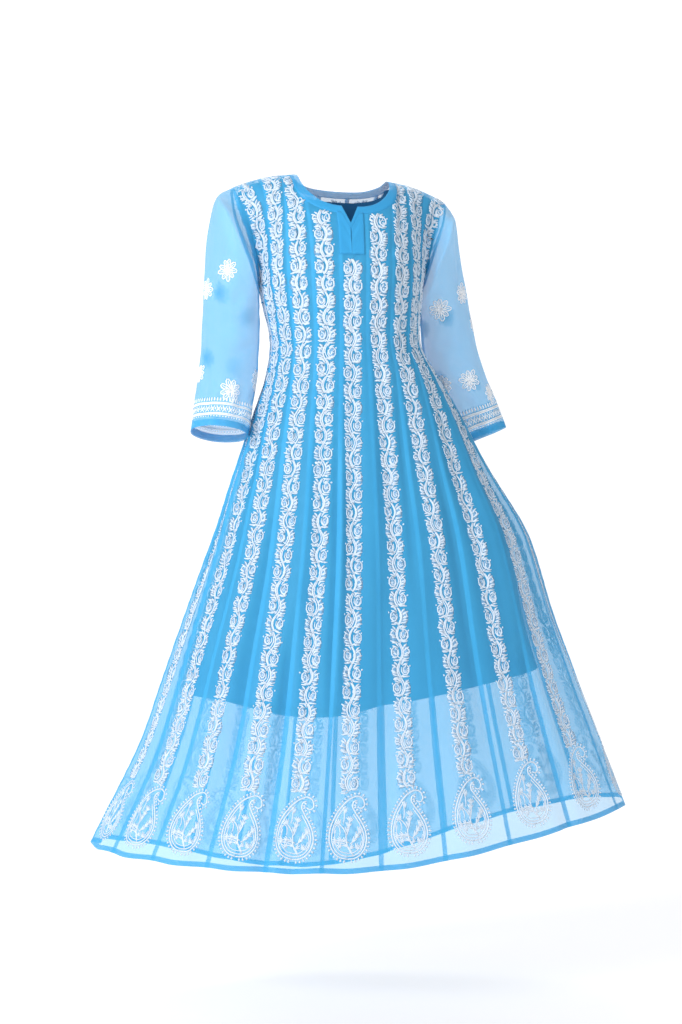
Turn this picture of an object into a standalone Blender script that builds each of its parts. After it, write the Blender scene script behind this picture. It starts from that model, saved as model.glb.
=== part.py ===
"""Anarkali gown with 22 kalis, three-quarter sleeves and a knee-length lining, in its worn hollow form.

Frame: metres, +Z up, front towards -Y, the wearer's left hand towards +X. The origin is midway between
the two points where shoulder seam and neckline meet, which is where the wearer's shoulders carry it.
Every cloth piece is an open loft given its thickness by Solidify, 0.3 mm clear of the next one.
"""

import math

import bpy
import numpy as np

# Driving sizes
KALIS = 22  # gores round the body: 11 in front and 11 behind
QUARTER = KALIS / 4  # kalis from the centre front to the side seam
CLOTH = 0.001
SEAM_GAP = 0.0005
CORNER_GAP = 0.0006  # what each wall stops short by where two of them meet at an angle
ACROSS = 4  # facets across one kali
WAIST_Z = -0.285  # the high waist, below the shoulder points
RISE_PER_ALONG = 0.24  # height gained for each unit of "along" above the waist
SHOULDER_TILT = -0.05  # the carried shoulders lean a little, wearer's left lower
LINING_INSET = 0.006
LAYER = CLOTH + SEAM_GAP  # middle of one wall to the middle of the next one lying on it

# How far the hem hangs below the waist at each side of the skirt
HEM_DROP = {"front": 0.890, "back": 0.962, "left": 0.872, "right": 0.816}

# Rings of the body, one row each. "along" is 0 at the waist and 1 at the hem; left and right are the
# distances from X = 0 to the side seams, middle is the centre kalis' X, front and back are depths,
# square is the superellipse's power, and gather crowds the side kalis together where the body is narrow.
RING_COLUMNS = ("along", "left", "right", "middle", "front", "back", "square", "gather")
RINGS = (
    (-0.25, 0.140, 0.140, 0.000, 0.128, 0.105, 2.50, 1.22),
    (0.00, 0.121, 0.133, 0.003, 0.108, 0.098, 2.20, 1.36),
    (0.07, 0.130, 0.165, 0.002, 0.117, 0.112, 2.10, 1.32),
    (0.15, 0.153, 0.205, 0.000, 0.128, 0.128, 2.00, 1.24),
    (0.27, 0.187, 0.258, -0.002, 0.146, 0.144, 2.00, 1.14),
    (0.42, 0.230, 0.333, -0.005, 0.169, 0.162, 2.00, 1.06),
    (0.60, 0.286, 0.384, -0.012, 0.196, 0.181, 2.00, 1.02),
    (0.80, 0.347, 0.449, -0.021, 0.224, 0.199, 2.00, 1.00),
    (1.00, 0.433, 0.513, -0.030, 0.255, 0.222, 2.00, 1.00),
)

# The yoke above the chest ring. Seen from the front its half-width grows with the rise above the chest
# as w + a * rise + b * rise^2, and the shoulder line falls with the cube of the distance from the neck.
YOKE_WIDENS = (0.0973, 1.343)
SHOULDER_FALL = 4.5
SHOULDER_BACK = 0.12  # how far behind Y = 0 the shoulder line lies, for each unit of X
YOKE_ROUND = {"front": 2.1, "back": 2.5}  # superellipse powers of the upright sections

# Top edges of the kalis, from the centre line to the underarm, one row each, as seen from the front.
# "kali" counts kalis from the centre line, and turn is the angle in degrees through which the cloth
# bends back from the upright on its way up.
TOP_COLUMNS = ("kali", "x", "z", "turn")
SHOULDER = (  # between these rows the heights follow the shoulder line
    (2.00, 0.092, -0.0035, 84),  # neck end of the shoulder seam
    (2.50, 0.110, -0.0060, 84),
    (3.50, 0.150, -0.0152, 84),
    (4.00, 0.188, -0.0299, 84),  # sleeve end of the shoulder seam
)
UNDERARM = ((5.50, 0.143, -0.205, 30),)
FRONT_TOP = (
    (0.00, 0.000, -0.108, 50),
    (0.31, 0.016, -0.078, 50),
    (0.50, 0.025, -0.077, 50),
    (1.00, 0.050, -0.071, 54),
    (1.50, 0.077, -0.053, 62),
    (1.75, 0.089, -0.030, 70),
    *SHOULDER,
    (4.25, 0.177, -0.072, 66),
    (4.50, 0.163, -0.112, 56),
    (5.00, 0.150, -0.160, 44),
    *UNDERARM,
)
BACK_TOP = (
    (0.00, 0.000, -0.028, 66),
    (0.50, 0.026, -0.027, 66),
    (1.00, 0.052, -0.024, 68),
    (1.50, 0.078, -0.017, 72),
    (1.75, 0.088, -0.010, 76),
    *SHOULDER,
    (4.25, 0.180, -0.072, 66),
    (4.50, 0.165, -0.115, 56),
    (5.00, 0.152, -0.162, 40),
    *UNDERARM,
)

# The neckline itself, the band's free edge, from the centre front over the shoulder to the centre back
NECK_COLUMNS = ("kali", "x", "z")
NECKLINE = (
    (0.00, 0.000, -0.097),  # foot of the notch
    (0.31, 0.014, -0.067),
    (0.50, 0.022, -0.066),
    (1.00, 0.044, -0.060),
    (1.50, 0.066, -0.043),
    (1.75, 0.078, -0.022),
    (2.00, 0.081, -0.0024),
    (9.25, 0.077, -0.006),
    (9.50, 0.068, -0.010),
    (10.00, 0.045, -0.016),
    (10.50, 0.023, -0.018),
    (11.00, 0.000, -0.019),
)

# One row for each kali's soft fold, counted from the centre front towards the wearer's left: how far
# its middle stands out at the hem, and how far down from the waist it begins.
FOLD_COLUMNS = ("kali", "stands_out", "begins")
FOLDS = (
    (-10, 0.005, 0.20), (-9, 0.003, 0.35), (-8, 0.006, 0.15), (-7, 0.004, 0.30), (-6, 0.003, 0.25),
    (-5, 0.004, 0.30), (-4, 0.005, 0.15), (-3, 0.006, 0.25), (-2, 0.005, 0.10), (-1, 0.006, 0.20),
    (0, 0.005, 0.15), (1, 0.004, 0.25), (2, 0.005, 0.15), (3, 0.004, 0.20), (4, 0.003, 0.30),
    (5, 0.003, 0.40), (6, 0.004, 0.30), (7, 0.005, 0.20), (8, 0.003, 0.30), (9, 0.006, 0.15),
    (10, 0.004, 0.25), (11, 0.006, 0.15),
)
VALLEY = 0.004  # every seam lies this far back at the hem
VALLEY_BEGINS = 0.12

# Sleeves, one row for each ring below the armhole. outer and inner are the ring's far and near points
# from the body, y is its middle, deep is half its depth, and rise lifts its front edge.
SLEEVE_COLUMNS = ("outer_x", "outer_z", "inner_x", "inner_z", "y", "deep", "rise")
SLEEVES = {
    "right": (  # the wearer's right, hanging close to the body, forearm a little forwards
        (0.217, -0.050, 0.143, -0.221, 0.012, 0.066, 0.000),
        (0.232, -0.105, 0.1425, -0.236, 0.012, 0.061, 0.000),
        (0.238, -0.165, 0.142, -0.256, 0.012, 0.056, 0.000),
        (0.241, -0.228, 0.143, -0.290, 0.010, 0.053, 0.001),
        (0.245, -0.300, 0.146, -0.336, 0.003, 0.051, 0.004),
        (0.255, -0.378, 0.155, -0.392, -0.009, 0.050, 0.008),
        (0.266, -0.449, 0.166, -0.459, -0.026, 0.050, 0.012),
    ),
    "left": (  # the wearer's left, held out from the body with the elbow back
        (0.203, -0.055, 0.1435, -0.219, 0.018, 0.066, 0.000),
        (0.214, -0.110, 0.145, -0.232, 0.026, 0.061, 0.000),
        (0.227, -0.175, 0.149, -0.254, 0.036, 0.056, 0.000),
        (0.243, -0.2465, 0.155, -0.292, 0.048, 0.053, 0.000),
        (0.262, -0.315, 0.168, -0.350, 0.060, 0.051, 0.000),
        (0.291, -0.378, 0.194, -0.412, 0.073, 0.050, 0.000),
        (0.316, -0.434, 0.222, -0.472, 0.085, 0.050, 0.000),
    ),
}
ROUND_SLEEVE = 12  # facets round a sleeve, one to each column of the kalis that end at the armhole
ARMHOLE_FROM = 4.0  # kalis from the centre line: the sleeve's end of the shoulder seam
ARMHOLE_CLEAR = 0.0016  # how far outside the kalis' edges the sleeve starts

# The neck finish, with places across the centre front kali counted in kalis
NOTCH_HALF_WIDTH = 0.31
PLACKET_HALF_WIDTH = 0.45
PLACKET_FOOT_Z = -0.152
SLIT_HALF_WIDTH = 0.01
PLACKET_ROWS = 4
PLACKET_OFFSET = 0.0019  # the middle of its wall to the middle of the kali's

# The turned hems
HEM_BAND = 0.010
CUFF_BAND = 0.016
LINING_HEM = 0.705  # along the skirt
LINING_TOP_COLUMNS = ("kali", "height")  # kalis from a middle, and share of the way up the yoke: the
LINING_TOP = ((0.5, 0.78), (1.5, 0.93), (2.5, 1), (3.5, 1), (4.5, 0.75), (5.5, 0.75))  # neck dips lowest
LINING_TRIM = 0.15  # how much of the yoke's highest row of facets the lining leaves out
LINING_NARROWS = 0.135  # how much narrower than the gown the lining is at its hem

CHEST_Z = WAIST_Z - RINGS[0][0] * RISE_PER_ALONG
UP_FROM_CHEST = (0.0, 0.25, 0.5, 0.7, 0.87, 1.0)  # shares of the way from the chest ring to the top edge
LINEN = {}


def column(table, names, name):
    """One named column of a table, as an array."""
    return np.array([row[names.index(name)] for row in table], float)


def shoulder_height(distance):
    """The shoulder line's height at a distance from the middle."""
    return -SHOULDER_FALL * distance**3


def along_rings(name, along):
    """A column of RINGS at any place along the body."""
    return np.interp(along, column(RINGS, RING_COLUMNS, "along"), column(RINGS, RING_COLUMNS, name))


def smooth_step(share):
    share = np.clip(share, 0, 1)
    return share * share * (3 - 2 * share)


def body_point(kali, along, folded=True, narrowing=0.0):
    """The cloth's middle surface from chest to hem. kali counts from the centre front, positive towards
    the wearer's left. A quarter ring is a superellipse, and a kali's place on it lies in the direction
    tan(angle) = sqrt(width / depth) * tan(share * 90 degrees), which keeps the arcs nearly even."""
    kali = np.asarray(kali, float)
    kali = (kali + KALIS / 2) % KALIS - KALIS / 2
    behind = np.abs(kali) > QUARTER
    share = np.where(behind, KALIS / 2 - np.abs(kali), np.abs(kali)) / QUARTER
    share = 1 - (1 - share) ** along_rings("gather", along)
    side = np.where(kali < 0, -1.0, 1.0)
    towards = np.where(behind, 1.0, -1.0)
    middle = along_rings("middle", along)
    width = np.where(side < 0, along_rings("left", along) + middle, along_rings("right", along) - middle)
    depth = np.where(behind, along_rings("back", along), along_rings("front", along))
    width = width * (1 - narrowing)
    depth = depth * (1 - narrowing)
    across, ahead = np.sqrt(width / depth) * np.sin(share * math.pi / 2), np.cos(share * math.pi / 2)
    power = along_rings("square", along)
    reach = ((across / width) ** power + (ahead / depth) ** power) ** (-1 / power)
    x = middle + side * reach * across
    y = towards * reach * ahead
    middle_drop = np.where(behind, HEM_DROP["back"], HEM_DROP["front"])
    side_drop = np.where(side < 0, HEM_DROP["left"], HEM_DROP["right"])
    sideways = np.sin(share * math.pi / 2) ** 2
    drop = np.where(along < 0, RISE_PER_ALONG, middle_drop * (1 - sideways) + side_drop * sideways)
    z = WAIST_Z - along * drop
    if folded:
        outwards = np.stack([side * across / width**2, towards * ahead / depth**2])
        outwards = outwards / np.linalg.norm(outwards, axis=0)
        fold = fold_depth(kali, along)
        x = x + outwards[0] * fold
        y = y + outwards[1] * fold
    return np.stack(np.broadcast_arrays(x, y, z), axis=-1)


def fold_depth(kali, along):
    """How far the cloth stands out from the plain ring: back at the seams, out at the kalis' middles."""
    number = np.floor(kali + 0.5).astype(int)
    number = np.where(number <= -KALIS // 2, KALIS // 2, number)
    index = number + KALIS // 2 - 1
    stands_out = column(FOLDS, FOLD_COLUMNS, "stands_out")[index]
    begins = column(FOLDS, FOLD_COLUMNS, "begins")[index]
    valley = VALLEY * smooth_step((along - VALLEY_BEGINS) / (1 - VALLEY_BEGINS))
    ridge = stands_out * smooth_step((along - begins) / (1 - begins))
    hump = np.sin(math.pi * (kali + 0.5 - np.floor(kali + 0.5))) ** 2
    return -valley + (valley + ridge) * hump


def top_edge(kali):
    """(X, Z, bend angle) of the kalis' top edge, and whether it is behind, at each kali place."""
    kali = np.asarray(kali, float)
    kali = (kali + KALIS / 2) % KALIS - KALIS / 2
    behind = np.abs(kali) > QUARTER
    from_middle = np.where(behind, KALIS / 2 - np.abs(kali), np.abs(kali))
    found = {}
    for name in TOP_COLUMNS[1:]:
        front, back = (
            np.interp(from_middle, column(t, TOP_COLUMNS, "kali"), column(t, TOP_COLUMNS, name))
            for t in (FRONT_TOP, BACK_TOP)
        )
        found[name] = np.where(behind, back, front)
    on_shoulder = (from_middle >= SHOULDER[0][0]) & (from_middle <= SHOULDER[-1][0])
    z = np.where(on_shoulder, shoulder_height(found["x"]), found["z"])
    return found["x"] * np.where(kali < 0, -1, 1), z, np.radians(found["turn"]), behind


def spread_at(x, z):
    """How far forwards or back the yoke's level section reaches, as a share of its depth in the middle."""
    rise = np.maximum(z - CHEST_Z, 0)
    half_width = RINGS[0][1] + YOKE_WIDENS[0] * rise + YOKE_WIDENS[1] * rise**2
    power = RINGS[0][RING_COLUMNS.index("square")]
    return np.maximum(1 - (np.abs(x) / half_width) ** power, 0) ** (1 / power)


def yoke_surface(x, z, spread, behind):
    """The yoke's points for places seen from the front. Its level sections are superellipses as wide as
    the yoke is there, and its upright sections are superellipses from the chest to the shoulder line."""
    distance = np.abs(x)
    shoulder_z = shoulder_height(distance)
    below = np.clip((shoulder_z - z) / (shoulder_z - CHEST_Z), 0, 1)
    rounding = np.where(behind, YOKE_ROUND["back"], YOKE_ROUND["front"])
    fullness = (1 - (1 - below) ** rounding) ** (1 / rounding)
    depth = np.where(behind, along_rings("back", RINGS[0][0]), -along_rings("front", RINGS[0][0]))
    y = depth * fullness * spread + SHOULDER_BACK * distance * (1 - below)
    return tilted(np.stack(np.broadcast_arrays(x, y, z), axis=-1))


def tilted(points):
    """Leans the shoulders, fading to nothing at the chest ring."""
    share = smooth_step((points[..., 2] - CHEST_Z) / -CHEST_Z)
    lean = np.zeros_like(points)
    lean[..., 2] = SHOULDER_TILT * points[..., 0] * share
    return points + lean


def yoke_point(kali, up):
    """The yoke's surface from the chest ring (up = 0) to the kalis' top edge (up = 1)."""
    chest = body_point(kali, np.full(np.shape(kali), RINGS[0][0]))
    top_x, top_z, turn, behind = top_edge(kali)
    x = chest[..., 0] + (top_x - chest[..., 0]) * up**2
    z = chest[..., 2] + (top_z - chest[..., 2]) * np.sin(up * turn) / np.sin(turn)
    depth = np.where(behind, along_rings("back", RINGS[0][0]), -along_rings("front", RINGS[0][0]))
    spread = chest[..., 1] / depth
    spread = spread + (spread_at(top_x, top_z) - spread) * up**2
    return yoke_surface(x, z, spread, behind)


def garment_grid(kalis, ups, alongs, **how):
    """Rows of points down the garment, first up the yoke's shares and then along the rings."""
    rows = [yoke_point(kalis, np.full(kalis.shape, up)) for up in ups]
    rows += [body_point(kalis, np.full(kalis.shape, along), **how) for along in alongs]
    return np.array(rows)


def unit(vectors):
    return vectors / np.maximum(np.linalg.norm(vectors, axis=-1, keepdims=True), 1e-12)


def normals_of(grid, closed):
    """Outward normals of a grid whose rows run down and whose columns run towards the wearer's left."""
    down = np.gradient(grid, axis=0)
    if closed:
        across = np.roll(grid, -1, axis=1) - np.roll(grid, 1, axis=1)
    else:
        across = np.gradient(grid, axis=1)
    return unit(np.cross(down, across))


def cloth_material(name, colour, roughness):
    """A dyed cloth finish."""
    material = bpy.data.materials.new(name)
    material.use_nodes = True
    shader = material.node_tree.nodes["Principled BSDF"]
    shader.inputs["Base Color"].default_value = (*colour, 1)
    shader.inputs["Roughness"].default_value = roughness
    shader.inputs["Metallic"].default_value = 0
    return material


def loft(name, grid, material, closed=False):
    """A named cloth wall: quads between the rows of a grid of points, thickened by Solidify."""
    rows, columns = grid.shape[:2]
    last = columns if closed else columns - 1
    faces = [
        (
            r * columns + c,
            (r + 1) * columns + c,
            (r + 1) * columns + (c + 1) % columns,
            r * columns + (c + 1) % columns,
        )
        for r in range(rows - 1)
        for c in range(last)
    ]
    mesh = bpy.data.meshes.new(name)
    mesh.from_pydata(grid.reshape(-1, 3).tolist(), [], faces)
    mesh.materials.append(material)
    mesh.shade_smooth()
    piece = bpy.data.objects.new(name, mesh)
    GOWN.objects.link(piece)
    piece.parent = CARRIER
    wall = piece.modifiers.new("cloth", "SOLIDIFY")
    wall.thickness = CLOTH
    wall.offset = 0
    return piece


def pulled_in(edge, inside, distance):
    """An edge's points moved a distance into the cloth, square to the edge."""
    along_edge = unit(np.gradient(edge, axis=0))
    inwards = inside - edge
    inwards = inwards - along_edge * np.sum(inwards * along_edge, axis=-1, keepdims=True)
    return edge + distance * unit(inwards)


def short_of_seams(grid, side_gap=SEAM_GAP / 2):
    """A panel's grid with its share of the seam gap left at each side and at its top edge."""
    moved = grid.copy()
    moved[0] = pulled_in(grid[0], grid[1], CORNER_GAP)
    moved[:, 0] = pulled_in(moved[:, 0], moved[:, 1], side_gap)
    moved[:, -1] = pulled_in(moved[:, -1], moved[:, -2], side_gap)
    return moved


def kali_name(number):
    """Front kalis count from the centre front, back ones from the centre back, to the wearer's side."""
    front = abs(number) <= QUARTER
    from_middle = abs(number) if front else KALIS // 2 - abs(number)
    hand = "" if from_middle == 0 else "_left" if number > 0 else "_right"
    return f"kali_{'front' if front else 'back'}{hand}_{from_middle}"


def kali_grid(number):
    """One gore's columns, as kali places, and its points from the top edge to the hem."""
    if number == 0:
        columns = np.array([-0.5, -NOTCH_HALF_WIDTH, 0.0, NOTCH_HALF_WIDTH, 0.5])
    else:
        columns = number + np.linspace(-0.5, 0.5, ACROSS + 1)
    grid = garment_grid(columns, UP_FROM_CHEST[:0:-1], column(RINGS, RING_COLUMNS, "along"))
    return columns, grid


def make_kali(number):
    """One gore, cut in one piece from the shoulder, neck band or armhole to the hem."""
    _, grid = kali_grid(number)
    return loft(kali_name(number), short_of_seams(grid), LINEN["georgette"])


def lining_grid():
    """The whole slip: the kalis' own shape, unfolded, set in, and narrower towards its hem. Its columns
    lie at the kalis' seams, from the wearer's right side seam round by the front."""
    columns = np.arange(KALIS) - QUARTER
    from_middle = QUARTER - np.abs(QUARTER - np.abs(columns) % (2 * QUARTER))
    tops, heights = (column(LINING_TOP, LINING_TOP_COLUMNS, name) for name in LINING_TOP_COLUMNS)
    height = np.interp(from_middle, tops, heights)
    rows = [yoke_point(columns, up * height) for up in UP_FROM_CHEST[:0:-1]]
    rows[0] += LINING_TRIM * (rows[1] - rows[0])
    for along in [ring[0] for ring in RINGS if ring[0] < LINING_HEM] + [LINING_HEM]:
        narrowing = LINING_NARROWS * smooth_step(max(along, 0) / LINING_HEM)
        rows.append(body_point(columns, np.full(columns.shape, along), folded=False, narrowing=narrowing))
    grid = np.array(rows)
    return grid - LINING_INSET * normals_of(grid, closed=True)


def make_lining(name, first_column):
    """Half of the sleeveless slip under the gown, which ends at the knee."""
    half = lining_grid().take(range(first_column, first_column + KALIS // 2 + 1), axis=1, mode="wrap")
    return loft(name, short_of_seams(half, CORNER_GAP), LINEN["lining"])


def armhole_points(turns, hand):
    """Points of the armhole seam. turns runs from 0 at the shoulder seam, by the front, to 1."""
    down = 1 - np.abs(1 - 2 * turns)
    kali = ARMHOLE_FROM + (QUARTER - ARMHOLE_FROM) * down
    kali = np.where(turns > 0.5, KALIS / 2 - kali, kali)
    return yoke_point(hand * kali, np.ones(kali.shape))


def sleeve_grid(side):
    """Rings from the armhole to the cuff, each starting on its outer side and turning by the front."""
    hand = 1 if side == "left" else -1
    turns = np.arange(ROUND_SLEEVE) / ROUND_SLEEVE
    angle = turns * 2 * math.pi
    rings = []
    for outer_x, outer_z, inner_x, inner_z, y, deep, rise in SLEEVES[side]:
        middle = np.array([hand * (outer_x + inner_x) / 2, y, (outer_z + inner_z) / 2])
        out = np.array([hand * (outer_x - inner_x) / 2, 0, (outer_z - inner_z) / 2])
        front = np.array([0, -deep, rise])
        rings.append(middle + np.outer(np.cos(angle), out) + np.outer(np.sin(angle), front))
    rings = tilted(np.array(rings))
    seam = armhole_points(turns, hand)
    outside = unit(seam * np.array([1, 1, 0]))
    grid = np.array([seam + ARMHOLE_CLEAR * outside, *rings])
    return grid[:, ::-1] if side == "left" else grid


def make_sleeve(side):
    """A sheer three-quarter sleeve, one tube with its seam under the arm, and its turned cuff hem."""
    grid = sleeve_grid(side)
    sleeve = loft(f"sleeve_{side}", grid, LINEN["georgette"], closed=True)
    band = np.array([short_of(grid[-1], grid[-2], CUFF_BAND), grid[-1]])
    band = band + LAYER * unit(band.mean(axis=1, keepdims=True) - band)
    cuff = loft(f"cuff_hem_{side}", band, LINEN["turned_hem"], closed=True)
    return sleeve, cuff


def all_columns():
    """Every kali's columns once each, round from the right-hand side of the centre front kali."""
    rounds = [kali_grid(number)[0][:-1] for number in (*range(KALIS // 2 + 1), *range(1 - KALIS // 2, 0))]
    return np.concatenate(rounds)


def short_of(edge, beyond, distance):
    """Points a distance in from an edge, towards the next points beyond it."""
    return edge + distance * unit(beyond - edge)


def make_hem_band():
    """The turned and stitched hem, one ring inside the lower edges of the kalis."""
    columns = all_columns()
    beyond, hem = (body_point(columns, np.full(columns.shape, ring[0])) for ring in RINGS[-2:])
    grid = np.array([short_of(hem, beyond, HEM_BAND), hem])
    grid = grid - LAYER * normals_of(grid, closed=True)
    return loft("hem_band", grid, LINEN["turned_hem"], closed=True)


def make_neck_band():
    """The band round the neckline and its notch, between the tops of the kalis and the free edge."""
    columns = all_columns()
    columns = columns[(np.abs(columns) <= 2) | (np.abs(columns) >= KALIS / 2 - 2)]
    names, places = NECK_COLUMNS, np.abs(columns)
    x, z = (np.interp(places, column(NECKLINE, names, "kali"), column(NECKLINE, names, n)) for n in names[1:])
    x = x * np.where(columns < 0, -1, 1)
    free_edge = yoke_surface(x, z, spread_at(x, z), places > QUARTER)
    seam = yoke_point(columns, np.ones(columns.shape))
    grid = np.array([free_edge, short_of(seam, free_edge, CORNER_GAP)])
    return loft("neck_band", grid, LINEN["turned_hem"], closed=True)


def make_placket(side):
    """Half of the small patch below the notch, on one side of the neck slit, lying on the kali."""
    hand = 1 if side == "left" else -1
    columns, grid = kali_grid(0)
    wanted = np.sort(hand * np.array([SLIT_HALF_WIDTH, NOTCH_HALF_WIDTH, PLACKET_HALF_WIDTH]))
    patch = []
    for place in wanted:
        line = np.array([[np.interp(place, columns, row[:, axis]) for axis in range(3)] for row in grid])
        heights = np.linspace(line[0, 2] - CORNER_GAP, PLACKET_FOOT_Z, PLACKET_ROWS)
        patch.append([[np.interp(-z, -line[:, 2], line[:, axis]) for axis in range(3)] for z in heights])
    grid = np.array(patch).transpose(1, 0, 2)
    outwards = unit(np.cross(grid[-1, 1] - grid[1, 1], grid[-1, -1] - grid[-1, 0]))
    return loft(f"placket_{side}", grid + PLACKET_OFFSET * outwards, LINEN["turned_hem"])


for old in list(bpy.data.objects):
    bpy.data.objects.remove(old)
GOWN = bpy.data.collections.new("anarkali_gown")
bpy.context.scene.collection.children.link(GOWN)
CARRIER = bpy.data.objects.new("shoulder_point", None)
GOWN.objects.link(CARRIER)
LINEN["georgette"] = cloth_material("georgette", (0.10, 0.42, 0.80), 0.6)
LINEN["lining"] = cloth_material("lining", (0.05, 0.30, 0.68), 0.55)
LINEN["turned_hem"] = cloth_material("turned_hem", (0.06, 0.36, 0.76), 0.6)

for number in range(-KALIS // 2 + 1, KALIS // 2 + 1):
    make_kali(number)
make_lining("lining_front", 0)
make_lining("lining_back", KALIS // 2)
make_sleeve("left")
make_sleeve("right")
make_hem_band()
make_neck_band()
make_placket("left")
make_placket("right")
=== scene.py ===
"""Anarkali gown of 22 georgette kalis over a knee-length lining, worn, with white embroidered vines.

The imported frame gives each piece's place. Every cloth here is a thin sheet on its solid's form, in metres.
"""

import math

import bpy
import numpy as np
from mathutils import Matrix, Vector


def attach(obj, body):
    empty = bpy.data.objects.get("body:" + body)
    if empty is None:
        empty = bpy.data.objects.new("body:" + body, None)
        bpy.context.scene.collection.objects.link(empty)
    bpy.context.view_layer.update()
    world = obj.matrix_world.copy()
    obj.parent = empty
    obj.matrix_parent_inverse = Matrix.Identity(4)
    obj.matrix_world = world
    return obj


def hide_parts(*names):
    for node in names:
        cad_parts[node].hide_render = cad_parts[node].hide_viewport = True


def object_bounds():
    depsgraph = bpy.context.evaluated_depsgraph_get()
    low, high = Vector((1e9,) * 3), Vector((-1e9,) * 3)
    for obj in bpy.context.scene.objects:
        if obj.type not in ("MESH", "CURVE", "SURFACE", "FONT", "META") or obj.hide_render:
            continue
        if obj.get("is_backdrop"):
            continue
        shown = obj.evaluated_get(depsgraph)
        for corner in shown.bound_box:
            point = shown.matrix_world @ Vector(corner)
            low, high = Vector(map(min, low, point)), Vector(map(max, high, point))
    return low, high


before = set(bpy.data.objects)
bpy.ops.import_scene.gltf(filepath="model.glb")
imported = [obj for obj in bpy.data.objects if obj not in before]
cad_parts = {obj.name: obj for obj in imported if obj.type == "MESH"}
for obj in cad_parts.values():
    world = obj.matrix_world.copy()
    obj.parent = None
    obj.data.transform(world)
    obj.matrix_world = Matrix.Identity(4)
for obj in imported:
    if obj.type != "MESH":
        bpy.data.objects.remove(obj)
cad_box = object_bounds()

# ------------------------------------------------------------
# Studio: a pale seamless floor that curves up into a backdrop, broad soft lamps, and a camera level
# with the gown's middle, a little to the wearer's right. The gown is carried at its shoulders, so its
# hem hangs clear of the floor.
FLOOR_Z = -1.42
BACKDROP_FRONT = -6.0  # Y where the floor begins
BACKDROP_Y = 5.4
BACKDROP_BEND = 1.6  # radius of the curve from floor to wall
BACKDROP_LENGTH = 18.0  # along the floor and up the wall
BACKDROP_HALF_WIDTH = 7.0
CAMERA_TURN = math.radians(-9)
CAMERA_DISTANCE = 3.5
CAMERA_LEVEL = -0.588
FILM_HEIGHT = 24.0  # mm
SEEN_HEIGHT = 1.793  # metres that fill the frame's height at the gown


def made_mesh(name, points, quads, material, uv=None):
    """An object from arrays of points (n, 3), of quads (m, 4) and, where given, of UV places (n, 2)."""
    mesh = bpy.data.meshes.new(name)
    mesh.vertices.add(len(points))
    mesh.vertices.foreach_set("co", np.ascontiguousarray(points, dtype=np.float32).ravel())
    mesh.loops.add(quads.size)
    mesh.loops.foreach_set("vertex_index", np.ascontiguousarray(quads, dtype=np.int32).ravel())
    mesh.polygons.add(len(quads))
    mesh.polygons.foreach_set("loop_start", np.arange(0, quads.size, 4, dtype=np.int32))
    mesh.update(calc_edges=True)
    if uv is not None:
        layer = mesh.uv_layers.new(name="cloth")
        layer.data.foreach_set("uv", np.ascontiguousarray(uv[quads.ravel()], dtype=np.float32).ravel())
    mesh.shade_smooth()
    mesh.materials.append(material)
    piece = bpy.data.objects.new(name, mesh)
    bpy.context.scene.collection.objects.link(piece)
    return piece


def grid_quads(rows, columns, closed=False, start=0):
    """Quads between the points of a grid: (r, c), (r + 1, c), (r + 1, c + 1), (r, c + 1)."""
    last = columns if closed else columns - 1
    r, c = np.meshgrid(np.arange(rows - 1), np.arange(last), indexing="ij")
    beside = (c + 1) % columns
    corners = (r * columns + c, (r + 1) * columns + c, (r + 1) * columns + beside, r * columns + beside)
    return start + np.stack(corners, axis=-1).reshape(-1, 4)


def plain_finish(name, colour, roughness):
    """A material with its colour and roughness set on the shader, to which a section adds its nodes."""
    material = bpy.data.materials.new(name)
    material.use_nodes = True
    shader = material.node_tree.nodes["Principled BSDF"]
    shader.inputs["Base Color"].default_value = (*colour, 1)
    shader.inputs["Roughness"].default_value = roughness
    return material, shader


def backdrop_profile(length):
    """(Y, Z) at a length along the sweep: level, then a quarter circle of BACKDROP_BEND, then upright."""
    level = BACKDROP_Y - BACKDROP_BEND - BACKDROP_FRONT
    angle = np.clip((length - level) / BACKDROP_BEND, 0, math.pi / 2)
    above = np.maximum(length - level - BACKDROP_BEND * math.pi / 2, 0)
    y = BACKDROP_FRONT + np.minimum(length, level) + BACKDROP_BEND * np.sin(angle)
    return y, FLOOR_Z + BACKDROP_BEND * (1 - np.cos(angle)) + above


sweep_lengths = np.linspace(0, BACKDROP_LENGTH, 145)
sweep_y, sweep_z = backdrop_profile(sweep_lengths)
sweep_x = np.linspace(BACKDROP_HALF_WIDTH, -BACKDROP_HALF_WIDTH, 3)
sweep = np.stack(np.broadcast_arrays(sweep_x[None, :], sweep_y[:, None], sweep_z[:, None]), axis=-1)
backdrop_finish, backdrop_shader = plain_finish("pale_backdrop", (0.60, 0.60, 0.61), 0.9)
backdrop_shader.inputs["Emission Color"].default_value = (1, 1, 1, 1)
# Washed with its own light, as a studio's is
backdrop_shader.inputs["Emission Strength"].default_value = 0.36
backdrop = made_mesh("backdrop", sweep.reshape(-1, 3), grid_quads(*sweep.shape[:2]), backdrop_finish)
backdrop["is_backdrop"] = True


def soft_lamp(name, place, aim, width, watts):
    """A square area lamp that faces the aim point."""
    data = bpy.data.lights.new(name, "AREA")
    data.size = width
    data.energy = watts
    lamp = bpy.data.objects.new(name, data)
    bpy.context.scene.collection.objects.link(lamp)
    place = np.array(place, float)
    lamp.location = place
    lamp.rotation_euler = Vector(place - np.array(aim, float)).to_track_quat("Z", "Y").to_euler()


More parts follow.
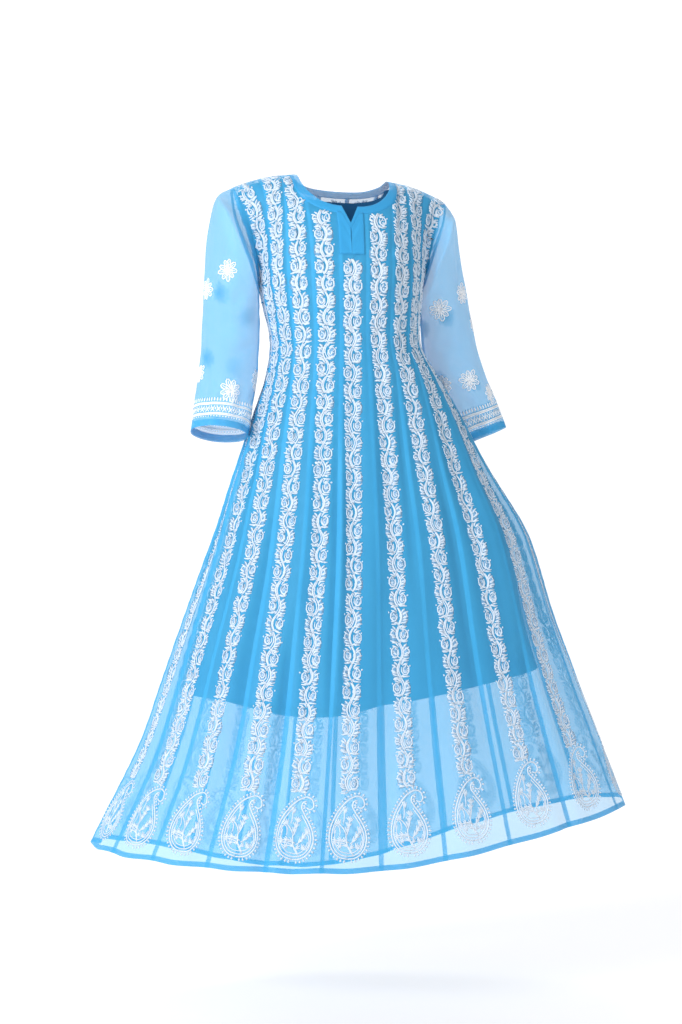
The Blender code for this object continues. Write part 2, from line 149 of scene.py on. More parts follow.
GOWN_MIDDLE = (0.0, 0.0, -0.6)
soft_lamp("key", (-3.2, -2.4, 1.0), GOWN_MIDDLE, 1.8, 185)
soft_lamp("fill", (2.8, -3.2, 0.4), GOWN_MIDDLE, 2.0, 50)
soft_lamp("rim", (0.6, 2.0, 1.6), GOWN_MIDDLE, 1.6, 30)
soft_lamp("wash", (0.0, 3.0, 2.8), (0.0, BACKDROP_Y, -0.2), 2.4, 105)
world = bpy.data.worlds.new("studio_air")
world.use_nodes = True
world.node_tree.nodes["Background"].inputs["Color"].default_value = (0.98, 0.99, 1.0, 1)
world.node_tree.nodes["Background"].inputs["Strength"].default_value = 0.44
bpy.context.scene.world = world
bpy.context.scene.view_settings.view_transform = "Standard"

camera_data = bpy.data.cameras.new("camera")
camera_data.sensor_fit = "VERTICAL"
camera_data.sensor_height = FILM_HEIGHT
camera_data.lens = FILM_HEIGHT * CAMERA_DISTANCE / SEEN_HEIGHT
camera = bpy.data.objects.new("camera", camera_data)
bpy.context.scene.collection.objects.link(camera)
towards_camera = Vector((math.sin(CAMERA_TURN), -math.cos(CAMERA_TURN), 0))
camera.location = Vector((0, 0, CAMERA_LEVEL)) + CAMERA_DISTANCE * towards_camera
camera.rotation_euler = towards_camera.to_track_quat("Z", "Y").to_euler()
bpy.context.scene.camera = camera

# ------------------------------------------------------------
# Kalis: 22 long gores of sheer crepe georgette, each cut from the shoulder, neck or armhole to the hem.
# They are joined by plain seams whose two allowances are pressed to one side, so three layers show
# there, and all are laid on one surface worked out from rings round the body.
KALIS = 22
QUARTER = KALIS / 4  # kalis from the centre front to the side seam
WAIST_Z = -0.285
RISE_PER_ALONG = 0.24  # height gained for each unit of "along" above the waist
HEM_DROP = {"front": 0.890, "back": 0.962, "left": 0.872, "right": 0.816}
STEPS = 16  # columns of the cloth across one kali
YOKE_ROWS = 24
CHEST_ROWS = 8
SKIRT_ROWS = 131
ALLOWANCE = 0.008  # width of a seam allowance
ALLOWANCE_SHARES = np.array([0.0, 0.06, 0.5, 1.0])  # columns across an allowance, from the seam
MOST_TURNED = 0.24  # of a kali's width, where that is narrow
LAYER = 0.0006  # from one layer of the cloth to the next

RING_COLUMNS = ("along", "left", "right", "middle", "front", "back", "square", "gather")
RINGS = (  # the body's rings, "along" 0 at the waist and 1 at the hem
    (-0.25, 0.140, 0.140, 0.000, 0.128, 0.105, 2.50, 1.22),
    (0.00, 0.121, 0.133, 0.003, 0.108, 0.098, 2.20, 1.36),
    (0.07, 0.130, 0.165, 0.002, 0.117, 0.112, 2.10, 1.32),
    (0.15, 0.153, 0.205, 0.000, 0.128, 0.128, 2.00, 1.24),
    (0.27, 0.187, 0.258, -0.002, 0.146, 0.144, 2.00, 1.14),
    (0.42, 0.230, 0.333, -0.005, 0.169, 0.162, 2.00, 1.06),
    (0.60, 0.286, 0.384, -0.012, 0.196, 0.181, 2.00, 1.02),
    (0.80, 0.347, 0.449, -0.021, 0.224, 0.199, 2.00, 1.00),
    (1.00, 0.433, 0.513, -0.030, 0.255, 0.222, 2.00, 1.00),
)
CHEST = dict(zip(RING_COLUMNS, RINGS[0]))
CHEST_Z = WAIST_Z - CHEST["along"] * RISE_PER_ALONG

YOKE_WIDENS = (0.0973, 1.343)  # half-width gained above the chest, with the rise and with its square
SHOULDER_FALL = 4.5  # with the cube of the distance from the middle
SHOULDER_BACK = 0.12  # how far the shoulders go back for each metre outwards
SHOULDER_TILT = -0.05  # height gained for each metre towards the wearer's left
YOKE_ROUND = {"front": 2.1, "back": 2.5}  # powers of the upright sections
TOP_COLUMNS = ("kali", "x", "z", "turn")  # turn: degrees that the cloth bends back on its way up
FRONT_NECK = (
    (0.00, 0.000, -0.0785, 50),
    (0.50, 0.025, -0.0770, 50),
    (1.00, 0.050, -0.0710, 54),
    (1.50, 0.077, -0.0530, 62),
    (1.75, 0.089, -0.0300, 70),
    (2.00, 0.092, -0.0035, 84),
)
BACK_NECK = (
    (0.00, 0.000, -0.028, 66),
    (0.50, 0.026, -0.027, 66),
    (1.00, 0.052, -0.024, 68),
    (1.50, 0.078, -0.017, 72),
    (1.75, 0.088, -0.010, 76),
    (2.00, 0.092, -0.0035, 84),
)
SHOULDER = ((2.00, 0.092, -0.0035, 84), (2.50, 0.110, -0.0060, 84), (3.50, 0.150, -0.0152, 84),
            (4.00, 0.188, -0.0299, 84))
FRONT_ARMHOLE = (
    (4.00, 0.188, -0.0299, 84),
    (4.25, 0.177, -0.072, 66),
    (4.50, 0.163, -0.112, 56),
    (5.00, 0.150, -0.160, 44),
    (5.50, 0.143, -0.205, 30),
)
BACK_ARMHOLE = (
    (4.00, 0.188, -0.0299, 84),
    (4.25, 0.180, -0.072, 66),
    (4.50, 0.165, -0.115, 56),
    (5.00, 0.152, -0.162, 40),
    (5.50, 0.143, -0.205, 30),
)
NOTCH_HALF_WIDTH = 5 / STEPS  # of a kali
NOTCH_DEPTH = 0.0295

# One row for each kali's soft fold: how far its middle stands out at the hem, and where it begins.
FOLD_COLUMNS = ("kali", "stands_out", "begins")
FOLDS = (
    (-10, 0.005, 0.20), (-9, 0.003, 0.35), (-8, 0.006, 0.15), (-7, 0.004, 0.30), (-6, 0.003, 0.25),
    (-5, 0.004, 0.30), (-4, 0.005, 0.15), (-3, 0.006, 0.25), (-2, 0.005, 0.10), (-1, 0.006, 0.20),
    (0, 0.005, 0.15), (1, 0.004, 0.25), (2, 0.005, 0.15), (3, 0.004, 0.20), (4, 0.003, 0.30),
    (5, 0.003, 0.40), (6, 0.004, 0.30), (7, 0.005, 0.20), (8, 0.003, 0.30), (9, 0.006, 0.15),
    (10, 0.004, 0.25), (11, 0.006, 0.15),
)
VALLEY = 0.004  # how far the cloth lies in between two folds at the hem
VALLEY_BEGINS = 0.12

# Creases, one row each: the kali place where one begins, the places along the skirt where it begins and
# ends, its depth in metres (less than 0 for a ridge), its width in kalis, and how many kalis it moves
# towards the wearer's left for each unit along
CREASES = (
    (-1.50, 0.45, 1.20, 0.012, 0.16, 0.00), (3.50, 0.55, 1.20, 0.010, 0.14, 0.00),
    (-0.55, 0.10, 0.85, 0.005, 0.12, 0.10), (-0.35, 0.18, 0.80, -0.005, 0.09, 0.05),
    (0.60, 0.25, 1.15, 0.004, 0.15, 0.10), (1.45, 0.05, 0.60, 0.004, 0.12, -0.15),
    (1.80, 0.50, 1.20, -0.005, 0.20, 0.10), (2.40, 0.15, 0.90, 0.005, 0.14, 0.15),
    (3.15, 0.30, 0.75, -0.004, 0.14, -0.10), (4.40, 0.10, 0.95, 0.005, 0.16, -0.20),
    (5.10, 0.35, 1.20, 0.006, 0.20, 0.10), (5.90, 0.15, 0.70, 0.005, 0.14, 0.00),
    (-2.45, 0.20, 1.00, 0.006, 0.15, -0.05), (-2.95, 0.40, 1.20, -0.005, 0.18, 0.10),
    (-3.60, 0.05, 0.75, 0.005, 0.13, 0.10), (-4.35, 0.30, 1.20, 0.006, 0.17, -0.10),
    (-5.20, 0.10, 0.60, 0.004, 0.14, 0.10), (-6.10, 0.25, 1.20, 0.007, 0.18, 0.05),
    (-7.30, 0.10, 0.95, 0.005, 0.15, -0.10), (-7.90, 0.45, 1.20, -0.006, 0.20, 0.00),
    (-8.60, 0.15, 0.70, 0.006, 0.13, 0.15), (-9.70, 0.30, 1.20, 0.007, 0.17, 0.05),
    (10.45, 0.10, 0.85, 0.006, 0.14, -0.10), (9.60, 0.35, 1.20, 0.006, 0.18, 0.05),
    (8.80, 0.10, 0.65, 0.005, 0.12, 0.10), (8.20, 0.50, 1.20, -0.005, 0.18, 0.00),
    (7.35, 0.20, 1.20, 0.007, 0.16, -0.05), (6.60, 0.05, 0.60, 0.004, 0.13, 0.05),
)
# Drag lines in the bodice, one row each: where one runs from and to, each place in kalis across and down
# (a kali is about a sixth of a unit along here), its depth in metres and its half-width in kalis
KALIS_PER_ALONG = 6
DRAGS = (
    (4.9, -3.0, 2.6, -0.9, 0.0022, 0.30), (4.4, -2.1, 2.9, 0.0, 0.0022, 0.26),
    (-4.9, -2.9, -2.9, -0.6, 0.0024, 0.28), (-4.3, -1.8, -2.6, 0.2, 0.0020, 0.24),
    (3.6, 0.3, 1.4, 0.1, 0.0016, 0.20), (-3.8, 0.3, -1.9, 0.1, 0.0016, 0.22),
    (8.1, 0.2, 10.4, 0.0, 0.0026, 0.26), (-8.4, 0.3, -10.6, 0.1, 0.0024, 0.24),
    (6.3, -3.0, 8.0, -1.2, 0.0022, 0.28), (-6.2, -2.7, -8.2, -0.9, 0.0024, 0.28),
    (11.0, -0.2, 9.0, -0.5, 0.0020, 0.22), (2.2, -5.1, 1.2, -3.3, 0.0014, 0.24),
    (-2.2, -5.1, -1.1, -3.6, 0.0014, 0.24),
)
FLUTE_DEEP = {"bodice": 0.0008, "skirt": 0.0045}
SEAM_RIDGE = 0.0007
RIPPLE_DEEP = 0.0007
PUCKER = {"deep": 0.0006, "varies": 0.0004, "wide": 0.07}  # beside the seams, wide in kalis
# Rows are softened under the bust: at which level, how far about it, and how often
UNDER_BUST = {"level": CHEST["along"] * 0.7, "over": 0.16, "rounds": 60}


def unit(vectors):
    """Vectors divided by their lengths."""
    return vectors / np.maximum(np.linalg.norm(vectors, axis=-1, keepdims=True), 1e-12)


def lengths_along(line):
    """Distances along a line of points, from its first one to each."""
    return np.concatenate([[0], np.cumsum(np.linalg.norm(np.diff(line, axis=0), axis=1))])


def table_column(table, names, name):
    """One named column of a table, as an array."""
    return np.array([row[names.index(name)] for row in table], float)


def eased(at, places, values):
    """Values between the rows of a table, without overshoot: cubic Hermite pieces whose slope at each
    row is the harmonic mean of the slopes on its two sides, or 0 where these differ in sign."""
    at, places, values = np.asarray(at, float), np.asarray(places, float), np.asarray(values, float)
    spread = (slice(None),) + (None,) * (values.ndim - 1)
    gaps = np.diff(places)
    slopes = np.diff(values, axis=0) / gaps[spread]
    before, after = slopes[:-1], slopes[1:]
    agree = before * after > 0
    total = np.where(agree, before + after, 1)
    inner = np.where(agree, 2 * before * after / total, 0)
    tangents = np.concatenate([slopes[:1], inner, slopes[-1:]])
    piece = np.clip(np.searchsorted(places, at, side="right") - 1, 0, len(places) - 2)
    gap = gaps[piece]
    t = np.clip((at - places[piece]) / gap, 0, 1)
    shape = at.shape + (1,) * (values.ndim - 1)
    t, gap = t.reshape(shape), gap.reshape(shape)
    start, end = values[piece], values[piece + 1]
    leave, arrive = tangents[piece] * gap, tangents[piece + 1] * gap
    return (
        start * (1 + 2 * t) * (1 - t) ** 2
        + leave * t * (1 - t) ** 2
        + end * t * t * (3 - 2 * t)
        + arrive * t * t * (t - 1)
    )


def smooth_step(share):
    """3 s^2 - 2 s^3, held at 0 and 1 outside the step."""
    share = np.clip(share, 0, 1)
    return share * share * (3 - 2 * share)


def height_of(along):
    """Places along the body as roughly even heights: a unit above the waist is shorter than one below."""
    return np.where(along < 0, along * RISE_PER_ALONG / HEM_DROP["front"], along)


def ring(name, along):
    """A column of RINGS at any place along the body."""
    return eased(height_of(along), height_of(table_column(RINGS, RING_COLUMNS, "along")),
                 table_column(RINGS, RING_COLUMNS, name))


def wrapped(kali):
    """Kali places brought to between -11 and 11, 0 at the centre front."""
    return (np.asarray(kali, float) + KALIS / 2) % KALIS - KALIS / 2


def from_middle(kali):
    """How many kalis a place is from the centre front or, past the side seams, from the centre back, and
    whether it is behind."""
    behind = np.abs(kali) > QUARTER
    return np.where(behind, KALIS / 2 - np.abs(kali), np.abs(kali)), behind


def fold_depth(kali, along):
    """Each kali's bow: -valley + (valley + ridge) * sin^2 of the way across it, both growing downwards."""
    index = np.round(kali).astype(int) + KALIS // 2 - 1
    index = np.where(index < 0, KALIS - 1, index)
    begins, ridge = (table_column(FOLDS, FOLD_COLUMNS, name)[index] for name in ("begins", "stands_out"))
    ridge = ridge * smooth_step((along - begins) / (1 - begins))
    valley = VALLEY * smooth_step((along - VALLEY_BEGINS) / (1 - VALLEY_BEGINS))
    return -valley + (valley + ridge) * np.sin(math.pi * (kali + 0.5)) ** 2


def body_point(kali, along, folded=True, narrowing=0.0):
    """The cloth from chest to hem. Each quarter ring is a superellipse of depth and width, read in the
    direction tan(angle) = sqrt(width / depth) * tan(share * 90 degrees), and the drop from the waist
    eases from the middle's to the side's with the square of the sine of that share."""
    kali, along = np.broadcast_arrays(wrapped(kali), np.asarray(along, float))
    away, behind = from_middle(kali)
    share = 1 - (1 - away / QUARTER) ** ring("gather", along)
    side = np.where(kali < 0, -1.0, 1.0)
    towards = np.where(behind, 1.0, -1.0)
    middle = ring("middle", along)
    width = np.where(side < 0, ring("left", along) + middle, ring("right", along) - middle)
    width = width * (1 - narrowing)
    depth = np.where(behind, ring("back", along), ring("front", along)) * (1 - narrowing)
    across, ahead = np.sqrt(width / depth) * np.sin(share * math.pi / 2), np.cos(share * math.pi / 2)
    power = ring("square", along)
    reach = ((across / width) ** power + (ahead / depth) ** power) ** (-1 / power)
    x = middle + side * reach * across
    y = towards * reach * ahead
    middle_drop = np.where(behind, HEM_DROP["back"], HEM_DROP["front"])
    side_drop = np.where(side < 0, HEM_DROP["left"], HEM_DROP["right"])
    sideways = np.sin(share * math.pi / 2) ** 2
    drop = np.where(along < 0, RISE_PER_ALONG, middle_drop * (1 - sideways) + side_drop * sideways)
    if folded:
        outwards = unit(np.stack([side * across / width**2, towards * ahead / depth**2], axis=-1))
        fold = fold_depth(kali, along)
        x = x + outwards[..., 0] * fold
        y = y + outwards[..., 1] * fold
    return np.stack([x, y, WAIST_Z - along * drop], axis=-1)


def shoulder_height(distance):
    """The shoulder line falls with the cube of the distance from the middle."""
    return -SHOULDER_FALL * distance**3


def notched(kali, z):
    """Heights of a neckline with its small V at the centre front: both sides of it are straight."""
    away = np.abs(wrapped(kali))
    return z - NOTCH_DEPTH * np.clip(1 - away / NOTCH_HALF_WIDTH, 0, 1)


def top_edge(kali):
    """X, Z and bend angle of the kalis' top edge: neckline, then shoulder seam, then armhole."""
    kali = wrapped(kali)
    away, behind = from_middle(kali)
    found = {}
    for name in TOP_COLUMNS[1:]:
        parts = [
            eased(away, table_column(table, TOP_COLUMNS, "kali"), table_column(table, TOP_COLUMNS, name))
            for table in (FRONT_NECK, BACK_NECK, SHOULDER, FRONT_ARMHOLE, BACK_ARMHOLE)
        ]
        neck = np.where(behind, parts[1], parts[0])
        arm = np.where(behind, parts[4], parts[3])
        found[name] = np.select([away < SHOULDER[0][0], away <= SHOULDER[-1][0]], [neck, parts[2]], arm)
    on_shoulder = (away >= SHOULDER[0][0]) & (away <= SHOULDER[-1][0])
    z = np.where(on_shoulder, shoulder_height(found["x"]), notched(kali, found["z"]))
    return found["x"] * np.where(kali < 0, -1, 1), z, np.radians(found["turn"]), behind


def spread_at(x, z):
    """How far forwards or back the yoke reaches at X, as a share of its depth in the middle: a
    superellipse whose half-width grows as w + a * rise + b * rise^2 above the chest."""
    rise = np.maximum(z - CHEST_Z, 0)
    half_width = CHEST["left"] + YOKE_WIDENS[0] * rise + YOKE_WIDENS[1] * rise**2
    power = CHEST["square"]
    return np.maximum(1 - (np.abs(x) / half_width) ** power, 0) ** (1 / power)


def tilted(points):
    """Points above the chest, leaned with the shoulders: z gains a share of x that fades to nothing."""
    lean = np.zeros_like(points)
    lean[..., 2] = SHOULDER_TILT * points[..., 0] * smooth_step((points[..., 2] - CHEST_Z) / -CHEST_Z)
    return points + lean


def yoke_surface(x, z, spread, behind):
    """Points of the yoke for places seen from the front. Its upright sections are superellipses that
    turn over to the shoulder line, and the shoulders lean a little with X towards the top."""
    distance = np.abs(x)
    top = shoulder_height(distance)
    below = np.clip((top - z) / (top - CHEST_Z), 0, 1)
    rounding = np.where(behind, YOKE_ROUND["back"], YOKE_ROUND["front"])
    fullness = (1 - (1 - below) ** rounding) ** (1 / rounding)
    y = np.where(behind, CHEST["back"], -CHEST["front"]) * fullness * spread
    y = y + SHOULDER_BACK * distance * (1 - below)
    return tilted(np.stack(np.broadcast_arrays(x, y, z), axis=-1))


def yoke_point(kali, up):
    """The yoke from the chest ring (up = 0) to the kalis' top edge (up = 1): x moves over with up^2 and
    z rises as sin(up * turn) / sin(turn)."""
    kali, up = np.broadcast_arrays(wrapped(kali), np.asarray(up, float))
    chest = body_point(kali, np.full(kali.shape, CHEST["along"]), folded=False)
    top_x, top_z, turn, behind = top_edge(kali)
    x = chest[..., 0] + (top_x - chest[..., 0]) * up**2
    z = chest[..., 2] + (top_z - chest[..., 2]) * np.sin(up * turn) / np.sin(turn)
    spread = chest[..., 1] / np.where(behind, CHEST["back"], -CHEST["front"])
    spread = spread + (spread_at(top_x, top_z) - spread) * up**2
    return yoke_surface(x, z, spread, behind)


def window(at, begins, ends, soft=0.35):
    """1 between two places and 0 outside them, with soft shares of the way at each end."""
    edge = soft * (ends - begins)
    return smooth_step((at - begins) / edge) * smooth_step((ends - at) / edge)


def drawn_lines(lines, across, down, turn):
    """Depths of creases along straight lines, where places across repeat after a turn. Each is a bell
    about its line, with the line's two ends fading out."""
    out = np.zeros(np.broadcast_shapes(across.shape, down.shape))
    for from_across, from_down, to_across, to_down, deep, wide in lines:
        run_across, run_down = to_across - from_across, to_down - from_down
        past = (across - from_across + turn / 2) % turn - turn / 2
        share = (past * run_across + (down - from_down) * run_down) / (run_across**2 + run_down**2)
        away = (past * run_down - (down - from_down) * run_across) / math.hypot(run_across, run_down)
        out -= deep * np.exp(-((away / wide) ** 2)) * window(share, 0, 1, 0.5)
    return out


def fluting(kali, along):
    """Soft flutes, one to a kali: a cosine with its crests at the seams, uneven round the body by two slow
    sines, faint in the bodice and full in the skirt, and a narrow ridge where the allowances lie."""
    turn = 2 * math.pi * kali / KALIS
    uneven = 1 + 0.45 * np.sin(5 * turn + 1.1 + 2 * along) + 0.35 * np.sin(9 * turn + 0.4 - 3 * along)
    spreads = smooth_step(along / 0.6 + 0.1)
    full = FLUTE_DEEP["bodice"] + (FLUTE_DEEP["skirt"] - FLUTE_DEEP["bodice"]) * spreads
    past_seam = (kali + 1) % 1 - 0.5
    ridge = SEAM_RIDGE * np.exp(-(((past_seam - 0.05) / 0.07) ** 2)) * smooth_step(1 + along)
    return ridge - full * uneven * np.cos(2 * math.pi * kali)


def creased(kali, along):
    """How far the cloth lies in or out of its plain form. A crease is a bell across and a soft window
    down, a drag line is a bell about a straight line, and a slow ripple lies over all."""
    out = drawn_lines(DRAGS, kali, along * KALIS_PER_ALONG, KALIS) + fluting(kali, along)
    for at, begins, ends, deep, wide, lean in CREASES:
        from_line = wrapped(kali - at - lean * (along - begins))
        out -= deep * np.exp(-((from_line / wide) ** 2)) * window(along, begins, ends)
    ripple = np.sin(1.9 * kali + 21 * along + 0.8 * np.sin(17 * along)) * np.sin(3.1 * kali - 9 * along + 1)
    out += RIPPLE_DEEP * ripple
    from_seam = np.abs(wrapped(kali) - np.round(wrapped(kali) - 0.5) - 0.5)
    pucker = np.sin(along * 190 + 2 * np.sin(along * 37) + 5 * np.round(kali + 0.5))
    out -= (PUCKER["deep"] + PUCKER["varies"] * pucker) * np.exp(-((from_seam / PUCKER["wide"]) ** 2))
    return out


class Cloth:
    """A closed round of cloth, as a grid of points with rows down and columns round, read between them."""

    def __init__(self, points):
        self.points = points
        self.rows, self.columns = points.shape[:2]
        across = np.roll(points, -1, axis=1) - np.roll(points, 1, axis=1)
        self.normals = unit(np.cross(np.gradient(points, axis=0), across))

    def read(self, values, column_at, row_at):
        """Values between four neighbours, in proportion, and beyond the edge rows in line with them."""
        r = np.clip(np.floor(row_at).astype(int), 0, self.rows - 2)
        c = np.floor(column_at).astype(int)
        v, u = (row_at - r)[..., None], (column_at - c)[..., None]
        here, beside = c % self.columns, (c + 1) % self.columns
        upper = values[r, here] * (1 - u) + values[r, beside] * u
        lower = values[r + 1, here] * (1 - u) + values[r + 1, beside] * u
        return upper * (1 - v) + lower * v

    def at(self, column_at, row_at, lift=0.0):
        """Points on the cloth, or a distance out from it."""
        column_at, row_at, lift = np.broadcast_arrays(
            np.asarray(column_at, float), np.asarray(row_at, float), np.asarray(lift, float)
        )
        normal = unit(self.read(self.normals, column_at, row_at))
        return self.read(self.points, column_at, row_at) + lift[..., None] * normal

    def nearest(self, targets, column_at, row_at, rounds=6):
        """The places nearest to some points, from a first guess: each round solves for the step along
        the cloth's two directions that brings it square under the target."""
        column_at, row_at = column_at.astype(float), row_at.astype(float)
        step = 0.05
        for _ in range(rounds):
            here = self.read(self.points, column_at, row_at)
            across = (self.read(self.points, column_at + step, row_at) - here) / step
            down = (self.read(self.points, column_at, row_at + step) - here) / step
            gap = targets - here
            a, b, d = (np.sum(p * q, axis=-1) for p, q in ((across, across), (across, down), (down, down)))
            e, f = np.sum(across * gap, axis=-1), np.sum(down * gap, axis=-1)
            size = np.maximum(a * d - b * b, 1e-16)
            column_at = column_at + np.clip((d * e - b * f) / size, -6, 6)
            row_at = row_at + np.clip((a * f - b * e) / size, -6, 6)
        return column_at, row_at

    def length_down(self, column_at):
        """Distances down one column from the top edge, one for each row."""
        return lengths_along(self.at(np.full(self.rows, column_at), np.arange(self.rows)))


def softened(points, level):
    """Points whose rows draw towards the middle of the two beside them, again and again: by half under
    the bust, and by less away from it, as a bell falls."""
    share = 0.5 * np.exp(-(((level - UNDER_BUST["level"]) / UNDER_BUST["over"]) ** 2))[1:-1, None, None]
    for _ in range(UNDER_BUST["rounds"]):
        points[1:-1] += share * ((points[:-2] + points[2:]) / 2 - points[1:-1])
    return points


def rows_down(hem, skirt_rows):
    """Places of a garment's rows: up the yoke, from its top edge, and along the body, from chest to hem."""
    chest = np.linspace(CHEST["along"], 0, CHEST_ROWS + 1)[:-1]
    ups = np.linspace(1, 0, YOKE_ROWS + 1)[:-1]
    return ups[:, None], np.concatenate([chest, np.linspace(0, hem, skirt_rows)])[:, None]


def garment_cloth():
    """The whole outer gown: yoke rows, chest rows and skirt rows, softened where the bodice turns in
    under the bust, then creased square to its surface."""
    places = np.arange(KALIS * STEPS)[None, :] / STEPS
    ups, alongs = rows_down(1, SKIRT_ROWS)
    points = np.concatenate([yoke_point(places, ups), body_point(places, alongs)])
    level = np.concatenate([CHEST["along"] - ups, alongs])[:, 0]
    plain = Cloth(softened(points, level))
    depth = creased(places, level[:, None]) * smooth_step(np.arange(plain.rows) / 6)[:, None]
    return Cloth(plain.points + depth[..., None] * plain.normals)


gown = garment_cloth()


def feed(tree, node, inputs):
    """Sets some of a node's inputs, each to a value or from another node's output."""
    for key, source in inputs.items():
        if isinstance(source, bpy.types.NodeSocket):
            tree.links.new(source, node.inputs[key])
        else:
            node.inputs[key].default_value = source


def add_node(tree, kind, inputs=None, **settings):
    """A new node with its settings and inputs. Returns its outputs."""
    node = tree.nodes.new(kind)
    for name, value in settings.items():
        setattr(node, name, value)
    feed(tree, node, inputs or {})
    return node.outputs


def crepe_group():
    """Crepe weave, built once: two crossed sets of threads and the pebbled grain of hard-twisted yarn.
    In: the UV place in metres and the thread pitch. Out: a height, and a mask of uneven dyeing."""
    group = bpy.data.node_groups.new("crepe_weave", "ShaderNodeTree")
    for name, way, kind in (("Place", "INPUT", "Vector"), ("Threads per metre", "INPUT", "Float"),
                            ("Height", "OUTPUT", "Float"), ("Uneven dye", "OUTPUT", "Float")):
        group.interface.new_socket(name, in_out=way, socket_type=f"NodeSocket{kind}")
    entry = add_node(group, "NodeGroupInput")
    scaled = add_node(group, "ShaderNodeVectorMath",
                      {0: entry["Place"], "Scale": entry["Threads per metre"]}, operation="SCALE")[0]
    wave = {"Vector": scaled, "Scale": 1 / 6.283, "Distortion": 1.5, "Detail Scale": 0.4}
    warp, weft = (add_node(group, "ShaderNodeTexWave", wave, bands_direction=way)["Fac"] for way in "XY")
    threads = add_node(group, "ShaderNodeMath", {0: warp, 1: weft}, operation="MAXIMUM")[0]
    grain = add_node(group, "ShaderNodeTexNoise", {"Vector": scaled, "Scale": 0.32, "Detail": 4})["Fac"]
    pebbled = add_node(group, "ShaderNodeMath", {0: threads, 1: 0.4, 2: grain}, operation="MULTIPLY_ADD")[0]
    dye = add_node(group, "ShaderNodeTexNoise", {"Vector": entry["Place"], "Scale": 14, "Detail": 3})["Fac"]
    add_node(group, "NodeGroupOutput", {"Height": pebbled, "Uneven dye": dye})
    return group


CREPE = crepe_group()


def shade_and_bump(tree, shader, shades, mask, height, strength, distance):
    """Two shades mixed by a mask as the shader's colour, and a height as bump on its normal."""
    one, other = ((*shade, 1) for shade in shades)
    mixed = add_node(tree, "ShaderNodeMix", {"Factor": mask, 6: one, 7: other}, data_type="RGBA")
    relief = {"Strength": strength, "Distance": distance, "Height": height}
    bump = add_node(tree, "ShaderNodeBump", relief)
    feed(tree, shader, {"Base Color": mixed[2], "Normal": bump["Normal"]})


def dyed_cloth(name, pale, deep, roughness, threads, grain_height, alpha=1.0):
    """A woven finish: two near shades mixed by the uneven dye, and the weave as bump."""
    material, shader = plain_finish(name, pale, roughness)
    tree = material.node_tree
    place = add_node(tree, "ShaderNodeUVMap", uv_map="cloth")["UV"]
    weave = add_node(tree, "ShaderNodeGroup", {"Place": place, "Threads per metre": threads}, node_tree=CREPE)
    shade_and_bump(tree, shader, (pale, deep), weave["Uneven dye"], weave["Height"], 0.35, grain_height)
    shader.inputs["Alpha"].default_value = alpha
    shader.inputs["Sheen Weight"].default_value = 0.05
    shader.inputs["Specular IOR Level"].default_value = 0.25
    return material


GEORGETTE = dyed_cloth("georgette", (0.070, 0.480, 0.830), (0.050, 0.420, 0.770), 0.6, 2600, 0.0003, 0.53)


def joined_grids(name, grids, material, places):
    """One piece from several grids of points and their flat places."""
    quads, start = [], 0
    for grid in grids:
        quads.append(grid_quads(*grid.shape[:2], start=start))
        start += grid.shape[0] * grid.shape[1]
    points = np.concatenate([grid.reshape(-1, 3) for grid in grids])
    uv = np.concatenate([place.reshape(-1, 2) for place in places])
    return made_mesh(name, points, np.concatenate(quads), material, uv)


def flat_places(across, down):
    """Flat places, in metres, for every point of a grid."""
    return np.stack(np.broadcast_arrays(across, down), axis=-1)


def area_between(widths, down):
    """A cut's area from its widths at places down it, by the trapezium rule."""
    return float(np.sum((widths[:-1] + widths[1:]) / 2 * np.diff(down)))


def put_on(piece, node, slot, **cut):
    """A sheet set on the gown's one body in place of its solid, which is hidden; slot and cut are not used.
    """
    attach(piece, "root")
    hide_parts(node)


def front_or_back(number):
    """A kali's node name: front ones count from the centre front, back ones from the centre back."""
    away, behind = from_middle(number)
    hand = "" if away == 0 else "_left" if number > 0 else "_right"
    return f"kali_{'back' if behind else 'front'}{hand}_{int(away)}"


def kali_width(number):
    """A kali's width from seam to seam at each row of the cloth."""
    columns = (number - 0.5) * STEPS + np.arange(STEPS + 1)
    line = gown.at(columns[None, :], np.arange(gown.rows)[:, None])
    return np.linalg.norm(np.diff(line, axis=1), axis=2).sum(axis=1)


def make_kali(number):
    """One gore as three grids: its turned-back allowance, the panel, and its other allowance, which
    lies under the next kali."""
    rows, steps = np.arange(gown.rows)[:, None], np.arange(STEPS + 1)[None, :]
    width = kali_width(number)[:, None]
    turned = np.minimum(ALLOWANCE / width, MOST_TURNED) * STEPS
    first, last = (number - 0.5) * STEPS, (number + 0.5) * STEPS
    back_shares, on_shares = ALLOWANCE_SHARES[None, ::-1], ALLOWANCE_SHARES[None, :]
    back = gown.at(first + turned * back_shares, rows, -LAYER * np.array([1, 1, 0.8, 0.0]))
    panel = gown.at(first + steps, rows)
    onwards = gown.at(last + turned * on_shares, rows, -LAYER * np.array([0.0, 1.6, 2, 2]))
    down = gown.length_down(number * STEPS)
    across = (-0.5 * width + ALLOWANCE * back_shares, width * (steps / STEPS - 0.5),
              0.5 * width + ALLOWANCE * on_shares)
    node = front_or_back(number)
    piece = joined_grids(f"{node}_cloth", (back, panel, onwards), GEORGETTE,
                         [flat_places(part, down[:, None]) for part in across])
    cut_width = width[:, 0] + 2 * ALLOWANCE
    at_neck = from_middle(number)[0] <= 2
    put_on(piece, node, "georgette", flat=(float(cut_width.max()), float(down[-1])), held="hung",
           area=area_between(cut_width, down), rests_on=["neck_band_cloth"] if at_neck else [])


KALI_NUMBERS = range(-KALIS // 2 + 1, KALIS // 2 + 1)
for number in KALI_NUMBERS:
    make_kali(number)

